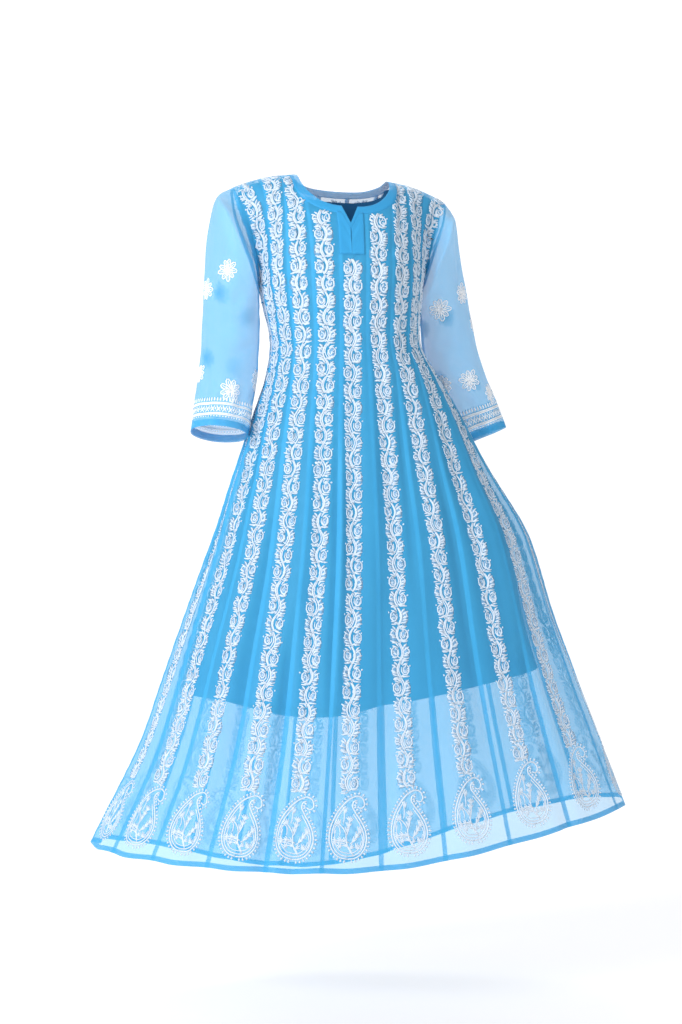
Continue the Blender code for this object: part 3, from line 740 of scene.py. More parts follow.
# ------------------------------------------------------------
# Lining: a sleeveless slip of plain crepe, front and back, cut lower at neck and armholes and ending
# at the knee. It hangs inside the kalis and is nearly opaque, so its hem shows through them.
LINING_STEPS = 8  # columns across one kali
LINING_HEM = 0.705
LINING_NARROWS = 0.135  # share of the gown's own width that it loses by its hem
LINING_INSET = 0.006
LINING_SAG = 0.004
LINING_HEM_TURN = 0.012
# Places in kalis from the centre, and how far up the yoke the lining's top edge is there
LINING_TOP = ((0.0, 0.95), (2.0, 0.95), (2.5, 0.98), (3.6, 0.98), (4.4, 0.84), (5.5, 0.78))
LINING_ROWS = 110
lining_crepe = dyed_cloth("lining", (0.030, 0.185, 0.400), (0.024, 0.160, 0.360), 0.55, 1800, 0.0002)


def lining_cloth():
    """The kalis' own surface, unfolded, set in square to itself, and narrower towards its hem."""
    places = np.arange(KALIS * LINING_STEPS)[None, :] / LINING_STEPS - QUARTER
    away, _ = from_middle(wrapped(places))
    top = eased(away, *np.array(LINING_TOP).T)
    ups, alongs = rows_down(LINING_HEM, LINING_ROWS)
    narrowing = LINING_NARROWS * smooth_step(np.maximum(alongs, 0) / LINING_HEM)
    skirt = body_point(places, alongs, folded=False, narrowing=narrowing)
    points = np.concatenate([yoke_point(places, ups * top), skirt])
    level = np.concatenate([CHEST["along"] - np.linspace(1, 0, YOKE_ROWS), alongs[:, 0]])
    plain = Cloth(softened(points, level))
    sag = LINING_SAG * np.sin(wrapped(places) * 2.3 + 3 * alongs[-1]) * np.sin(wrapped(places) * 1.1)
    flow = smooth_step(level[:, None] / LINING_HEM) * sag
    return Cloth(plain.points + (flow - LINING_INSET)[..., None] * plain.normals)


slip = lining_cloth()


def make_lining(name, first):
    """Half of the slip, with its hem turned up inside."""
    columns = first + np.arange(KALIS // 2 * LINING_STEPS + 1)[None, :]
    rows = np.arange(slip.rows)[:, None]
    panel = slip.at(columns, rows)
    down = slip.length_down(first + KALIS // 4 * LINING_STEPS)
    top_of_turn = np.interp(down[-1] - LINING_HEM_TURN, down, np.arange(slip.rows))
    turn_rows = np.linspace(slip.rows - 1, top_of_turn, 4)[:, None]
    turn = slip.at(columns, turn_rows, -LAYER * np.array([0.0, 1, 1, 1])[:, None])
    width = np.linalg.norm(np.diff(panel, axis=1), axis=2).sum(axis=1)
    share = np.linspace(0, 1, columns.size)[None, :]
    turn_down = 2 * down[-1] - np.interp(turn_rows, np.arange(slip.rows), down)
    places = [flat_places(share * width[:, None], down[:, None]), flat_places(share * width[-1], turn_down)]
    piece = joined_grids(f"{name}_cloth", (panel, turn), lining_crepe, places)
    widest, length = float(width.max()), float(down[-1] + LINING_HEM_TURN)
    area = area_between(width, down) + float(width[-1]) * LINING_HEM_TURN
    put_on(piece, name, "lining", flat=(widest, length), held="hung", area=min(area, widest * length))


make_lining("lining_front", 0)
make_lining("lining_back", KALIS // 2 * LINING_STEPS)

# ------------------------------------------------------------
# Sleeves: sheer three-quarter tubes, unlined, one cut piece each with a seam under the arm and another
# at the armhole, both showing as a darker strip. The cuff is turned up in a plain deep hem.

# Rings from the armhole down, one row each: X and Z of the outer point and of the inner one, Y of the
# middle, and how far the front point stands forwards and up from it
SLEEVES = {
    "right": (
        (0.217, -0.050, 0.143, -0.221, 0.012, 0.066, 0.000),
        (0.232, -0.105, 0.1425, -0.236, 0.012, 0.061, 0.000),
        (0.238, -0.165, 0.142, -0.256, 0.012, 0.056, 0.000),
        (0.241, -0.228, 0.143, -0.290, 0.010, 0.053, 0.001),
        (0.245, -0.300, 0.146, -0.336, 0.003, 0.051, 0.004),
        (0.255, -0.378, 0.155, -0.392, -0.009, 0.050, 0.008),
        (0.266, -0.449, 0.166, -0.459, -0.026, 0.050, 0.012),
    ),
    "left": (
        (0.203, -0.055, 0.1435, -0.219, 0.018, 0.066, 0.000),
        (0.214, -0.110, 0.145, -0.232, 0.026, 0.061, 0.000),
        (0.227, -0.175, 0.149, -0.254, 0.036, 0.056, 0.000),
        (0.243, -0.2465, 0.155, -0.292, 0.048, 0.053, 0.000),
        (0.262, -0.315, 0.168, -0.350, 0.060, 0.051, 0.000),
        (0.291, -0.378, 0.194, -0.412, 0.073, 0.050, 0.000),
        (0.316, -0.434, 0.222, -0.472, 0.085, 0.050, 0.000),
    ),
}
ARMHOLE_FROM = 4.0  # kalis from the centre line: the sleeve's end of the shoulder seam
SLEEVE_TURNS = 96  # columns round a sleeve
SLEEVE_ROWS = 84
CUFF_TURN = 0.016
# The turned cuff's section: shares of the turn up from the edge, and layers out from the cloth
CUFF_SECTION = ((0.0, 0.0), (0.001, -0.9), (0.5, -1), (0.97, -1), (1.0, -1.5), (0.97, -2), (0.12, -2))
# Creases, one row each, between two places as (turns from the shoulder round by the front, shares of
# the way to the cuff), with their depth in metres and half-width in turns
SLEEVE_CREASES = {
    "right": (
        (0.12, 0.05, 0.22, 0.55, 0.0040, 0.030), (0.34, 0.20, 0.20, 0.48, 0.0035, 0.026),
        (0.30, 0.45, 0.08, 0.60, 0.0030, 0.030), (0.42, 0.50, 0.22, 0.66, 0.0035, 0.026),
        (0.10, 0.60, 0.16, 1.02, 0.0045, 0.034), (0.36, 0.66, 0.31, 1.05, 0.0040, 0.030),
        (0.62, 0.30, 0.78, 0.55, 0.0040, 0.032), (0.90, 0.10, 0.84, 0.60, 0.0040, 0.032),
        (0.56, 0.55, 0.70, 1.04, 0.0045, 0.034), (0.86, 0.65, 0.90, 1.05, 0.0040, 0.030),
    ),
    "left": (
        (0.10, 0.06, 0.18, 0.50, 0.0040, 0.030), (0.38, 0.18, 0.24, 0.46, 0.0035, 0.028),
        (0.40, 0.46, 0.20, 0.58, 0.0038, 0.026), (0.34, 0.56, 0.14, 0.72, 0.0030, 0.028),
        (0.08, 0.62, 0.12, 1.04, 0.0040, 0.032), (0.28, 0.70, 0.27, 1.05, 0.0045, 0.034),
        (0.64, 0.28, 0.80, 0.52, 0.0040, 0.032), (0.92, 0.12, 0.88, 0.62, 0.0035, 0.032),
        (0.60, 0.60, 0.66, 1.04, 0.0045, 0.034), (0.82, 0.64, 0.86, 1.05, 0.0035, 0.030),
    ),
}


def armhole_points(turns, hand):
    """The armhole seam, on the kalis' top edge: down by the front to the underarm and up behind."""
    down = 1 - np.abs(1 - 2 * turns)
    kali = ARMHOLE_FROM + (QUARTER - ARMHOLE_FROM) * down
    kali = np.where(turns > 0.5, KALIS / 2 - kali, kali)
    return yoke_point(hand * kali, np.ones(kali.shape))


def sleeve_turns(side):
    """Turns of a sleeve's columns, which start at the underarm seam and run towards the wearer's left
    in front: the wearer's right sleeve goes up behind first and the left one in front."""
    steps = np.arange(SLEEVE_TURNS) / SLEEVE_TURNS
    return (0.5 + steps) % 1 if side == "right" else (0.5 - steps) % 1


def sleeve_cloth(side):
    """Ellipses through each row's outer and inner points, cos(turn) of the way out and sin(turn) of the
    way forwards, eased from the armhole seam down to the cuff, and creased square to themselves."""
    hand = 1 if side == "left" else -1
    turns = sleeve_turns(side)
    angle = turns * 2 * math.pi
    rings = []
    for outer_x, outer_z, inner_x, inner_z, y, deep, rise in SLEEVES[side]:
        middle = np.array([hand * (outer_x + inner_x) / 2, y, (outer_z + inner_z) / 2])
        out = np.array([hand * (outer_x - inner_x) / 2, 0, (outer_z - inner_z) / 2])
        forwards = np.array([0, -deep, rise])
        rings.append(middle + np.outer(np.cos(angle), out) + np.outer(np.sin(angle), forwards))
    rings = np.concatenate([armhole_points(turns, hand)[None], tilted(np.array(rings))])
    steps = np.linalg.norm(np.diff(rings, axis=0), axis=2).mean(axis=1)
    lengths = np.concatenate([[0], np.cumsum(steps)])
    plain = Cloth(eased(np.linspace(0, lengths[-1], SLEEVE_ROWS), lengths, rings))
    share = np.linspace(0, 1, SLEEVE_ROWS)[:, None]
    depth = drawn_lines(SLEEVE_CREASES[side], turns[None, :], share, 1)
    depth = depth + 0.0006 * np.sin(turns * 44 + 9 * share) * np.sin(share * 31)
    depth = depth * smooth_step(share * 8)
    return Cloth(plain.points + depth[..., None] * plain.normals)


def turned_edge(node, cloth, section, tall, row_height, around, **cut):
    """A cloth's lower edge turned up inside as a strip of its own: the section carried all round it."""
    up, layers = np.array(section).T[:, :, None]
    columns = np.arange(cloth.columns + 1)[None, :]
    strip = cloth.at(columns, cloth.rows - 1 - up * tall / row_height, LAYER * layers)
    piece = joined_grids(f"{node}_cloth", [strip], FOLDED_GEORGETTE, [flat_places(around, up * tall)])
    put_on(piece, node, "turned_hem", held="folded", **cut)


def make_sleeve(side, cloth):
    """The tube, its underarm allowance, its armhole allowance of two layers, and its turned cuff."""
    name = f"sleeve_{side}"
    rows = np.arange(cloth.rows)[:, None]
    round_columns = np.arange(SLEEVE_TURNS + 1)[None, :]
    tube = cloth.at(round_columns, rows)
    girth = np.linalg.norm(np.diff(tube, axis=1), axis=2).sum(axis=1)[:, None]
    length = cloth.length_down(SLEEVE_TURNS // 2)
    down = length[:, None]
    row_height = length[-1] / (cloth.rows - 1)
    share = ALLOWANCE_SHARES[None, :]
    seam_columns = share * ALLOWANCE / girth * SLEEVE_TURNS
    seam = cloth.at(seam_columns, rows, -LAYER * np.array([0.0, 1, 1.2, 1.2]))
    seam_under = cloth.at(seam_columns, rows, -LAYER * np.array([0.0, 2, 2.2, 2.2]))
    head_rows = ALLOWANCE_SHARES[:, None] * ALLOWANCE / row_height
    head = cloth.at(round_columns, head_rows, -LAYER * np.array([0.0, 2.4, 2.8, 2.8])[:, None])
    head_under = cloth.at(round_columns, head_rows, -LAYER * np.array([0.0, 3.4, 3.8, 3.8])[:, None])
    around = round_columns / SLEEVE_TURNS * girth.mean()
    strip = flat_places(-share * ALLOWANCE, down)
    collar = flat_places(around, -head_rows * row_height)
    piece = joined_grids(f"{name}_cloth", [tube, seam, seam_under, head, head_under], GEORGETTE,
                         [flat_places(around, down), strip, strip, collar, collar])
    width, tall = float(girth.max()) + 2 * ALLOWANCE, float(length[-1]) + ALLOWANCE
    put_on(piece, name, "georgette", flat=(width, tall), held="hung",
           area=area_between(girth[:, 0], length) + ALLOWANCE * (2 * tall + width))
    turned_edge(f"cuff_hem_{side}", cloth, CUFF_SECTION, CUFF_TURN, row_height, around,
                flat=(2 * CUFF_TURN, float(girth[-1, 0])), rests_on=[piece])


FOLDED_GEORGETTE = dyed_cloth(
    "turned_hem", (0.055, 0.430, 0.800), (0.040, 0.380, 0.740), 0.6, 2600, 0.0003, 0.62
)
sleeves = {side: sleeve_cloth(side) for side in SLEEVES}
for side, cloth in sleeves.items():
    make_sleeve(side, cloth)

# ------------------------------------------------------------
# Hem: the kalis' lower edges, turned up twice all round in a narrow band and machine stitched.
HEM_BAND = 0.009
# Its section as the cuff's: shares of the band's height, and layers out from the cloth
HEM_SECTION = ((0.0, 0.0), (0.03, -1.6), (0.95, -1.8), (1.0, -2.3), (0.95, -2.8), (0.1, -2.8))

columns = np.arange(gown.columns + 1)
around = lengths_along(gown.at(columns, gown.rows - 1))
row_height = np.linalg.norm(gown.points[-1] - gown.points[-2], axis=1)[columns % gown.columns]
turned_edge("hem_band", gown, HEM_SECTION, HEM_BAND, row_height, around,
            flat=(2 * HEM_BAND, float(around[-1])),
            rests_on=[f"{front_or_back(number)}_cloth" for number in KALI_NUMBERS])

# ------------------------------------------------------------
# Neck finish: a narrow bias binding folded round the neckline and its V notch, and under the notch a
# small stitched patch in two halves with the neck slit between them.

# The binding's free edge: kali places, X and Z
FRONT_EDGE = ((0.0, 0.000, -0.0675), (0.5, 0.022, -0.066), (1.0, 0.044, -0.060), (1.5, 0.066, -0.043),
              (1.75, 0.078, -0.022), (2.0, 0.081, -0.0024))
BACK_EDGE = ((0.0, 0.000, -0.019), (0.5, 0.023, -0.018), (1.0, 0.045, -0.016), (1.5, 0.068, -0.010),
             (1.75, 0.077, -0.006), (2.0, 0.081, -0.0024))
# The binding's section: shares of the way from its free edge to the seam, and lift in metres, from its
# inner lower edge up over the free edge to the outer one
BINDING = ((1.10, -0.0008), (0.80, -0.0009), (0.40, -0.0009), (0.10, -0.0008), (0.00, -0.0004),
           (-0.03, 0.0), (0.00, 0.0005), (0.10, 0.0009), (0.40, 0.0011), (0.80, 0.0011), (1.06, 0.0008),
           (1.10, 0.0002), (1.10, -0.0008))
PLACKET_HALF_WIDTH = 0.45  # of a kali
PLACKET_FOOT_Z = -0.152
SLIT_HALF_WIDTH = 0.012
SLIT_ENDS = 0.5  # share of the way down the patch, and below it the halves meet
SEAM_HALF_WIDTH = 0.002
PLACKET_LIFT = 0.0009
PLACKET_THICK = 0.0006
PLACKET_FULL = 0.96  # share of its middle width and full height that the patch fills


def neckline_edge(kali):
    """The binding's free edge, on the yoke's own surface."""
    away, behind = from_middle(wrapped(kali))
    tables = [np.array(table).T for table in (FRONT_EDGE, BACK_EDGE)]
    x, z = (np.where(behind, *[eased(away, t[0], t[k]) for t in reversed(tables)]) for k in (1, 2))
    z = notched(kali, z)
    return yoke_surface(x * np.where(wrapped(kali) < 0, -1, 1), z, spread_at(x, z), behind)


def make_neck_band():
    """The binding: its section carried along the neckline, between its free edge and the seam."""
    front = np.arange(-2 * STEPS, 2 * STEPS + 1)
    behind = np.arange(9 * STEPS + 1, 13 * STEPS + 1)
    columns = np.concatenate([front, behind])
    strip = Cloth(np.array([neckline_edge(columns / STEPS), gown.points[0, columns % gown.columns]]))
    share, lift = np.array(BINDING).T[:, :, None]
    points = strip.at(np.arange(columns.size + 1)[None, :] % columns.size, share, lift)
    section, around = lengths_along(points[:, 0]), lengths_along(points[5])
    piece = joined_grids("neck_band_cloth", [points], FOLDED_GEORGETTE,
                         [flat_places(section[:, None], around[None, :])])
    put_on(piece, "neck_band", "turned_hem", flat=(float(section[-1]), float(around[-1])), held="folded")


def make_placket(side):
    """Half of the patch, from the neck seam down to one level, lying on the centre front kali."""
    hand = 1 if side == "left" else -1
    down = np.linspace(0, 1, 22)[:, None]
    slit = SLIT_HALF_WIDTH * (1 - smooth_step((down - SLIT_ENDS) / 0.1)) + SEAM_HALF_WIDTH
    columns = (slit + (PLACKET_HALF_WIDTH - slit) * np.linspace(0, 1, 15)[::hand][None, :]) * hand * STEPS
    heights = gown.at(columns[-1][:, None], np.arange(gown.rows)[None, :])[..., 2]
    foot = np.array([np.interp(-PLACKET_FOOT_Z, -line, np.arange(gown.rows)) for line in heights])
    patch = gown.at(columns, down * foot[None, :], PLACKET_LIFT)
    width = np.linalg.norm(patch[-1, -1] - patch[-1, 0])
    tall = float(np.linalg.norm(np.diff(patch, axis=0), axis=2).sum(axis=0).max())
    places = flat_places(np.linspace(0, width, 15)[None, :], down * tall)
    piece = joined_grids(f"placket_{side}_cloth", [patch], FOLDED_GEORGETTE, [places])
    wall = piece.modifiers.new("turned edges", "SOLIDIFY")
    wall.thickness = PLACKET_THICK
    wall.offset = 0
    area = float(np.linalg.norm(np.diff(patch, axis=1), axis=2).sum(axis=1).mean() * tall * PLACKET_FULL)
    put_on(piece, f"placket_{side}", "turned_hem", flat=(float(width), tall), held="stretched",
           rests_on=["kali_front_0_cloth"], area=min(area, float(width) * tall))


make_neck_band()
make_placket("left")
make_placket("right")

# ------------------------------------------------------------
# Vines: hand embroidery in soft white cotton down the middle of each kali, a swinging stem with curled
# leaves to either side in turn. Each thread lies proud of the cloth and shows faintly behind it.
THREAD_SECTION = ((-0.5, 0.06), (0.0, 0.36), (0.5, 0.06), (0.0, -0.16))  # shares of the width: across, out
FLAT_SECTION = ((-0.5, 0.010), (0.0, 0.028), (0.5, 0.010), (0.0, -0.030))  # of a patch of close stitches
HALF_TURN = 0.0295  # length of one swing of the stem, which the next one mirrors
VINE_REACH = 0.0165  # from the stem's line to the outermost petal
VINE_FILLS = 0.44  # of a kali's width, where it is too narrow for the whole reach
LEAF_POINTS = 8
# One swing, in millimetres right of the line and down it. An arc's row is the place of its middle, its
# half-width and half-height, where it begins and ends in degrees from the right round by the bottom, and
# the thread's width. A bow's is its two ends, how far it bulges to the right of the way down, and the width
LEAF_ARCS = (
    (-7.9, 15.0, 6.6, 8.8, -30, 300, 2.4),
    (-7.6, 15.8, 3.4, 5.2, -110, 190, 2.2),
    (9.8, 13.6, 4.3, 4.6, -150, 120, 2.0),
)
STEM_BOWS = (
    (0.0, 0.0, 0.0, 29.5, 6.0, 2.9),
    (-1.9, 0.5, -2.2, 28.6, 5.3, 2.0),
)
PETAL_BOWS = (
    (5.4, 9.0, 11.6, 1.8, 0.8, 3.2), (7.0, 12.4, 15.2, 6.4, 0.8, 3.1), (7.4, 17.6, 16.2, 14.6, 0.6, 3.2),
    (6.2, 21.4, 14.8, 20.4, 0.5, 3.2), (4.6, 24.8, 11.8, 26.4, -0.5, 3.0), (-2.0, 6.4, -7.4, -0.6, -0.8, 3.1),
    (-3.4, 7.8, -12.4, 3.6, -0.8, 3.0), (-2.2, 25.6, -8.4, 26.6, 0.6, 3.0), (1.8, 27.0, -4.4, 23.2, 0.6, 2.4),
    (-8.2, 7.6, -8.0, 11.4, 0.2, 1.9), (-12.6, 11.8, -10.2, 13.6, 0.2, 1.9),
    (-13.0, 18.4, -10.4, 17.6, 0.2, 1.9), (-7.8, 18.2, -7.4, 14.2, 0.3, 2.2),
    (3.2, 12.2, 3.0, 17.4, 0.2, 2.0), (-14.6, 9.2, -16.0, 6.6, 0.1, 2.8),
    (1.4, 28.4, 13.6, 29.6, -0.8, 2.9), (3.2, 26.6, 14.6, 23.6, -0.4, 2.6),
    (-1.6, 26.0, -13.4, 27.6, 0.8, 2.8), (-6.6, 24.4, -14.4, 24.8, 0.4, 2.6),
)
# Patches of close herringbone behind the leaves and petals, whose pale threads show through the cloth
PATCH_BOWS = (
    (-7.9, 6.0, -7.9, 27.0, 0.0, 12.6), (8.6, 2.4, 8.6, 29.6, 2.0, 11.0),
)
JITTER = {"size": 0.08, "place": 0.0008, "thick": 0.14}
PAISLEY_FOOT = 0.024  # from the hem's edge up to the paisley's outline
PAISLEY_TALL = 0.104
# Where each kali's vine begins, in metres below its top edge, from the centre out to the side
VINE_STARTS = {
    "front": (0.054, 0.006, 0.034, 0.008, 0.006, 0.010), "back": (0.006, 0.006, 0.008, 0.008, 0.006, 0.010),
}


def arc(x, y, wide, tall, begins, ends, count=LEAF_POINTS):
    """Points on an ellipse about x, y, from one angle to another in degrees."""
    angle = np.radians(np.linspace(begins, ends, count))
    return np.stack([x + wide * np.cos(angle), y + tall * np.sin(angle)], axis=-1)


def bow(from_x, from_y, to_x, to_y, sag, count=3):
    """Points on a straight line, pushed to its side by sag times the sine of the way along."""
    share = np.linspace(0, 1, count)[:, None]
    start, run = np.array([from_x, from_y]), np.array([to_x - from_x, to_y - from_y])
    side = np.array([run[1], -run[0]]) / np.linalg.norm(run)
    return start + share * run + sag * np.sin(math.pi * share) * side


def stroke_widths(thick, count, plump):
    """Widths along strokes: full in the middle, and less at the ends by the share "plump"."""
    share = np.abs(np.linspace(-1, 1, count)) ** 2
    return np.asarray(thick, float)[:, None] * (1 - plump * share)


def strokes_from(arcs, bows, count, plump):
    """Arcs and bows of one table each as one set of strokes, in metres: their points and their widths."""
    lines = [arc(*row[:6], count) for row in arcs] + [bow(*row[:5], count) for row in bows]
    thick = [row[-1] for row in (*arcs, *bows)]
    return np.array(lines) / 1000, stroke_widths(thick, count, plump) / 1000


def cotton_thread(name, pale, shade, turns, alpha=1.0):
    """Twisted cotton: slanted ridges along each thread from its own UV, and a slightly uneven white."""
    material, shader = plain_finish(name, pale, 0.75)
    tree = material.node_tree
    place = add_node(tree, "ShaderNodeUVMap", uv_map="cloth")["UV"]
    wave = {"Vector": place, "Scale": turns, "Distortion": 1.0}
    ridges = add_node(tree, "ShaderNodeTexWave", wave, bands_direction="DIAGONAL")["Fac"]
    uneven = add_node(tree, "ShaderNodeTexNoise", {"Vector": place, "Scale": 160})["Fac"]
    shade_and_bump(tree, shader, (shade, pale), uneven, ridges, 0.5, 0.0002)
    shader.inputs["Alpha"].default_value = alpha
    shader.inputs["Sheen Weight"].default_value = 0.2
    return material


THREAD = cotton_thread("embroidery_thread", (0.70, 0.77, 0.85), (0.50, 0.61, 0.74), 300)
SHADOW_WORK = cotton_thread("shadow_work", (0.42, 0.64, 0.86), (0.30, 0.54, 0.80), 900, alpha=0.40)


def beside_column(cloth, column):
    """How to lay flat places on a cloth beside one of its columns: x metres to the right of it, y metres
    down it from the top edge, and out from the cloth. Each place is found square across the column."""
    length, rows = cloth.length_down(column), np.arange(cloth.rows)
    line = cloth.at(column, rows)
    normals = cloth.read(cloth.normals, np.full(cloth.rows, column), rows)
    across = unit(np.cross(normals, np.gradient(line, axis=0)))
    pitch = np.linalg.norm(cloth.at(column + 1, rows) - cloth.at(column - 1, rows), axis=1) / 2

    def lay(flat, out):
        x, y = flat[..., 0], flat[..., 1]
        row = np.interp(y, length, rows)
        target, side = ([np.interp(row, rows, part) for part in values.T] for values in (line, across))
        target = np.stack(target, axis=-1) + x[..., None] * np.stack(side, axis=-1)
        column_at, row_at = cloth.nearest(target, column + x / np.interp(row, rows, pitch), row, 4)
        return cloth.at(column_at, row_at, out), row_at

    return lay


def sewn_threads(name, stroke_sets, lay, top_row=-np.inf, section=THREAD_SECTION, finish=THREAD):
    """All strokes as one piece of closed threads, each the four-cornered section carried along its
    stroke, with both ends closed. A stroke that passes the top row is left out."""
    across, out = np.array(section).T
    points, quads, places, start = [], [], [], 0
    for lines, wide in stroke_sets:
        count = lines.shape[1]
        run = unit(np.gradient(lines, axis=1))
        side = np.stack([-run[..., 1], run[..., 0]], axis=-1)
        flat = lines[:, :, None] + side[:, :, None] * (across * wide[..., None])[..., None]
        solid, row = lay(flat, out * wide[..., None])
        solid = solid[row.min(axis=(1, 2)) > top_row]
        lengths = np.linalg.norm(np.diff(solid[:, :, 1], axis=1), axis=2)
        along = np.pad(np.cumsum(lengths, axis=1), ((0, 0), (1, 0)))[:, :, None]
        last = 4 * (count - 1)
        ends = np.array(((0, 1, 2, 3), (last + 3, last + 2, last + 1, last)))
        one = np.concatenate([grid_quads(count, 4, closed=True)[:, ::-1], ends[:, ::-1]])
        strokes = (np.arange(len(solid)) * count * 4)[:, None, None]
        quads.append((start + strokes + one).reshape(-1, 4))
        points.append(solid.reshape(-1, 3))
        places.append(flat_places(along, np.arange(4) * 0.0012).reshape(-1, 2))
        start += len(points[-1])
    piece = made_mesh(name, *map(np.concatenate, (points, quads)), finish, np.concatenate(places))
    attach(piece, "root")


VINE = (strokes_from((), STEM_BOWS, LEAF_POINTS, 0.1), strokes_from(LEAF_ARCS, (), LEAF_POINTS, 0.3),
        strokes_from((), PETAL_BOWS, 3, 0.45))
VINE_PATCHES = (strokes_from((), PATCH_BOWS, 4, 0.6),)


def vine_strokes(swing, begins, ends, reach_at, bodice_ends, seed):
    """A swing's strokes repeated from one height to another, every other one mirrored, squeezed across
    to the reach there and a little uneven, with plumper threads in the bodice."""
    draws = np.random.default_rng(seed)
    swings = max(int(round((ends - begins) / HALF_TURN)), 1)
    pitch = (ends - begins) / swings
    foot = begins + np.arange(swings) * pitch
    mirror = np.where((np.arange(swings) + seed) % 2, -1.0, 1.0)
    sets = []
    for lines, wide in swing:
        each = (swings, len(lines), 1)
        size = 1 + JITTER["size"] * draws.uniform(-1, 1, each)
        moved = draws.uniform(-1, 1, (*each[:2], 1, 2)) * JITTER["place"]
        flat = np.repeat(lines[None], swings, axis=0) * size[..., None] + moved
        y = foot[:, None, None] + flat[..., 1] * pitch / HALF_TURN
        squeeze = reach_at(y) / VINE_REACH
        x = flat[..., 0] * mirror[:, None, None] * squeeze
        plump = (1 + JITTER["thick"] * draws.uniform(-1, 1, each)) * np.sqrt(squeeze)
        plump = plump * (1.22 - 0.22 * smooth_step((y - bodice_ends) / 0.25 + 0.5))
        sets.append((np.stack([x, y], axis=-1).reshape(-1, *lines.shape[1:]),
                     (wide[None] * plump).reshape(-1, lines.shape[1])))
    return sets


# A paisley, in millimetres right and up from the foot of its outline: the left side runs on over the top
# into the hook, and the right side up under it
PAISLEY_LEFT = ((0, 0), (-10, 1.2), (-19, 5), (-26.5, 12), (-31.5, 21), (-34, 33), (-32.5, 47), (-25, 66),
                (-10, 87), (4, 98), (16, 102), (26, 97), (28.5, 88), (22, 82), (16, 85))
PAISLEY_RIGHT = ((0, 0), (10, 1.2), (19, 5), (26.5, 12), (31.5, 21), (33.5, 33), (31, 46), (23, 61), (12, 76),
                 (6.5, 86), (9, 93), (15, 95))
PAISLEY_SLIMMER = 0.92
INNER_LINE = 4.5  # mm inside the outline
INNER_ENDS = {"left": 0.66, "right": 0.80}  # share of each side that the inner line follows
FRINGE = {"pitch": 5.6, "from": 1.6, "to": 5.0, "dot": 3.0}  # mm
HEART_LINE = 9.5  # mm inside the outline, along the foot only
HEART_SHARE = 0.42
SPRIG_BOWS = (
    (9, 7, -4, 40, -4, 2.5), (-4, 40, -18, 57, 2, 2.3), (-21, 26, 9, 7, -7, 2.1), (-3, 38, 2, 66, 2, 2.2),
    (3, 24, 19, 46, 3, 2.3), (2, 26, -24, 29, 3, 2.3),
)
SPRIG_ARCS = (
    (-12, 70, 4.5, 15, -60, 150, 2.0), (20, 30, 6.5, 13, -100, 150, 2.0), (-20, 44, 5.5, 10, -40, 200, 2.0),
    (-8, 17, 9, 5, -20, 200, 1.8),
)
SPRIG_FANS = (  # where petals spring from, towards which angle (degrees up from the right), how many
    (-20, 28, 180, 5), (-11, 29, 165, 4), (-3, 27, 150, 3), (18, 44, 52, 5), (12, 36, 40, 4), (7, 28, 50, 3),
    (2, 60, 84, 5), (-1, 51, 80, 4), (-3, 43, 85, 3), (-16, 55, 128, 5), (3, 17, 40, 3), (0, 19, 140, 3),
    (14, 17, 60, 4), (-13, 17, 120, 3), (-6, 74, 95, 3),
)
FAN_SPREAD = 23  # degrees from one petal to the next
FAN_PETAL = (9.5, 2.3)  # length and thickness, mm


def curve_through(points, count):
    """A smooth line through some points, evenly stepped by the straight distances between them."""
    points = np.array(points, float)
    chords = lengths_along(points)
    return eased(np.linspace(0, chords[-1], count), chords, points)


def inset(line, by):
    """A line moved to its own right by a distance."""
    run = unit(np.gradient(line, axis=0))
    return line + by * np.stack([run[:, 1], -run[:, 0]], axis=-1)


def fan(x, y, towards, petals):
    """Petals from one point, spread evenly about a direction."""
    angle = math.radians(towards) + np.radians(FAN_SPREAD) * (np.arange(petals) - (petals - 1) / 2)
    tips = np.stack([x + FAN_PETAL[0] * np.cos(angle), y + FAN_PETAL[0] * np.sin(angle)], axis=-1)
    return [bow(x, y, *tip, 0.5) for tip in tips]


def paisley_strokes():
    """The paisley's strokes by their number of points, in metres from the foot of the outline: the two
    sides and the lines inside them, the dotted fringe square to the outline, and the sprig."""
    left, right = curve_through(PAISLEY_LEFT, 40), curve_through(PAISLEY_RIGHT, 40)
    inner = [inset(left, INNER_LINE)[: int(40 * INNER_ENDS["left"])],
             inset(right, -INNER_LINE)[: int(40 * INNER_ENDS["right"])]]
    foot_points = int(40 * HEART_SHARE)
    inner += [inset(left, HEART_LINE)[:foot_points], inset(right, -HEART_LINE)[:foot_points]]
    inner = [curve_through(line, 40) for line in inner]
    spokes, dots = [], []
    for side, outward in ((left, -1), (right, 1)):
        length = np.linalg.norm(np.diff(side, axis=0), axis=1).sum()
        foot = curve_through(side, int(length / FRINGE["pitch"]))[1:-1]
        square = unit(inset(foot, outward) - foot)
        near, far = (foot + square * FRINGE[place] for place in ("from", "to"))
        spokes += list(np.stack([near, far], axis=1))
        dots += list(np.stack([far + square * FRINGE["dot"] * share for share in (-0.5, 0, 0.5)], axis=1))
    petals = [petal for row in SPRIG_FANS for petal in fan(*row)]
    lines = [arc(*row[:6], LEAF_POINTS) for row in SPRIG_ARCS]
    lines += [bow(*row[:5], LEAF_POINTS) for row in SPRIG_BOWS]
    thick = [row[-1] for row in (*SPRIG_ARCS, *SPRIG_BOWS)]
    sets = (
        (np.array([left, right, *inner]), stroke_widths([2.7] * 2 + [2.3] * 2 + [1.7] * 2, 40, 0.1)),
        (np.array(lines), stroke_widths(thick, LEAF_POINTS, 0.2)),
        (np.array(petals), stroke_widths([FAN_PETAL[1]] * len(petals), 3, 0.4)),
        (np.array(spokes), stroke_widths([1.5] * len(spokes), 2, 0)),
        (np.array(dots), stroke_widths([3.9] * len(dots), 3, 0.35)),
    )
    return [(lines * (PAISLEY_SLIMMER, 1) / 1000, wide / 1000) for lines, wide in sets]


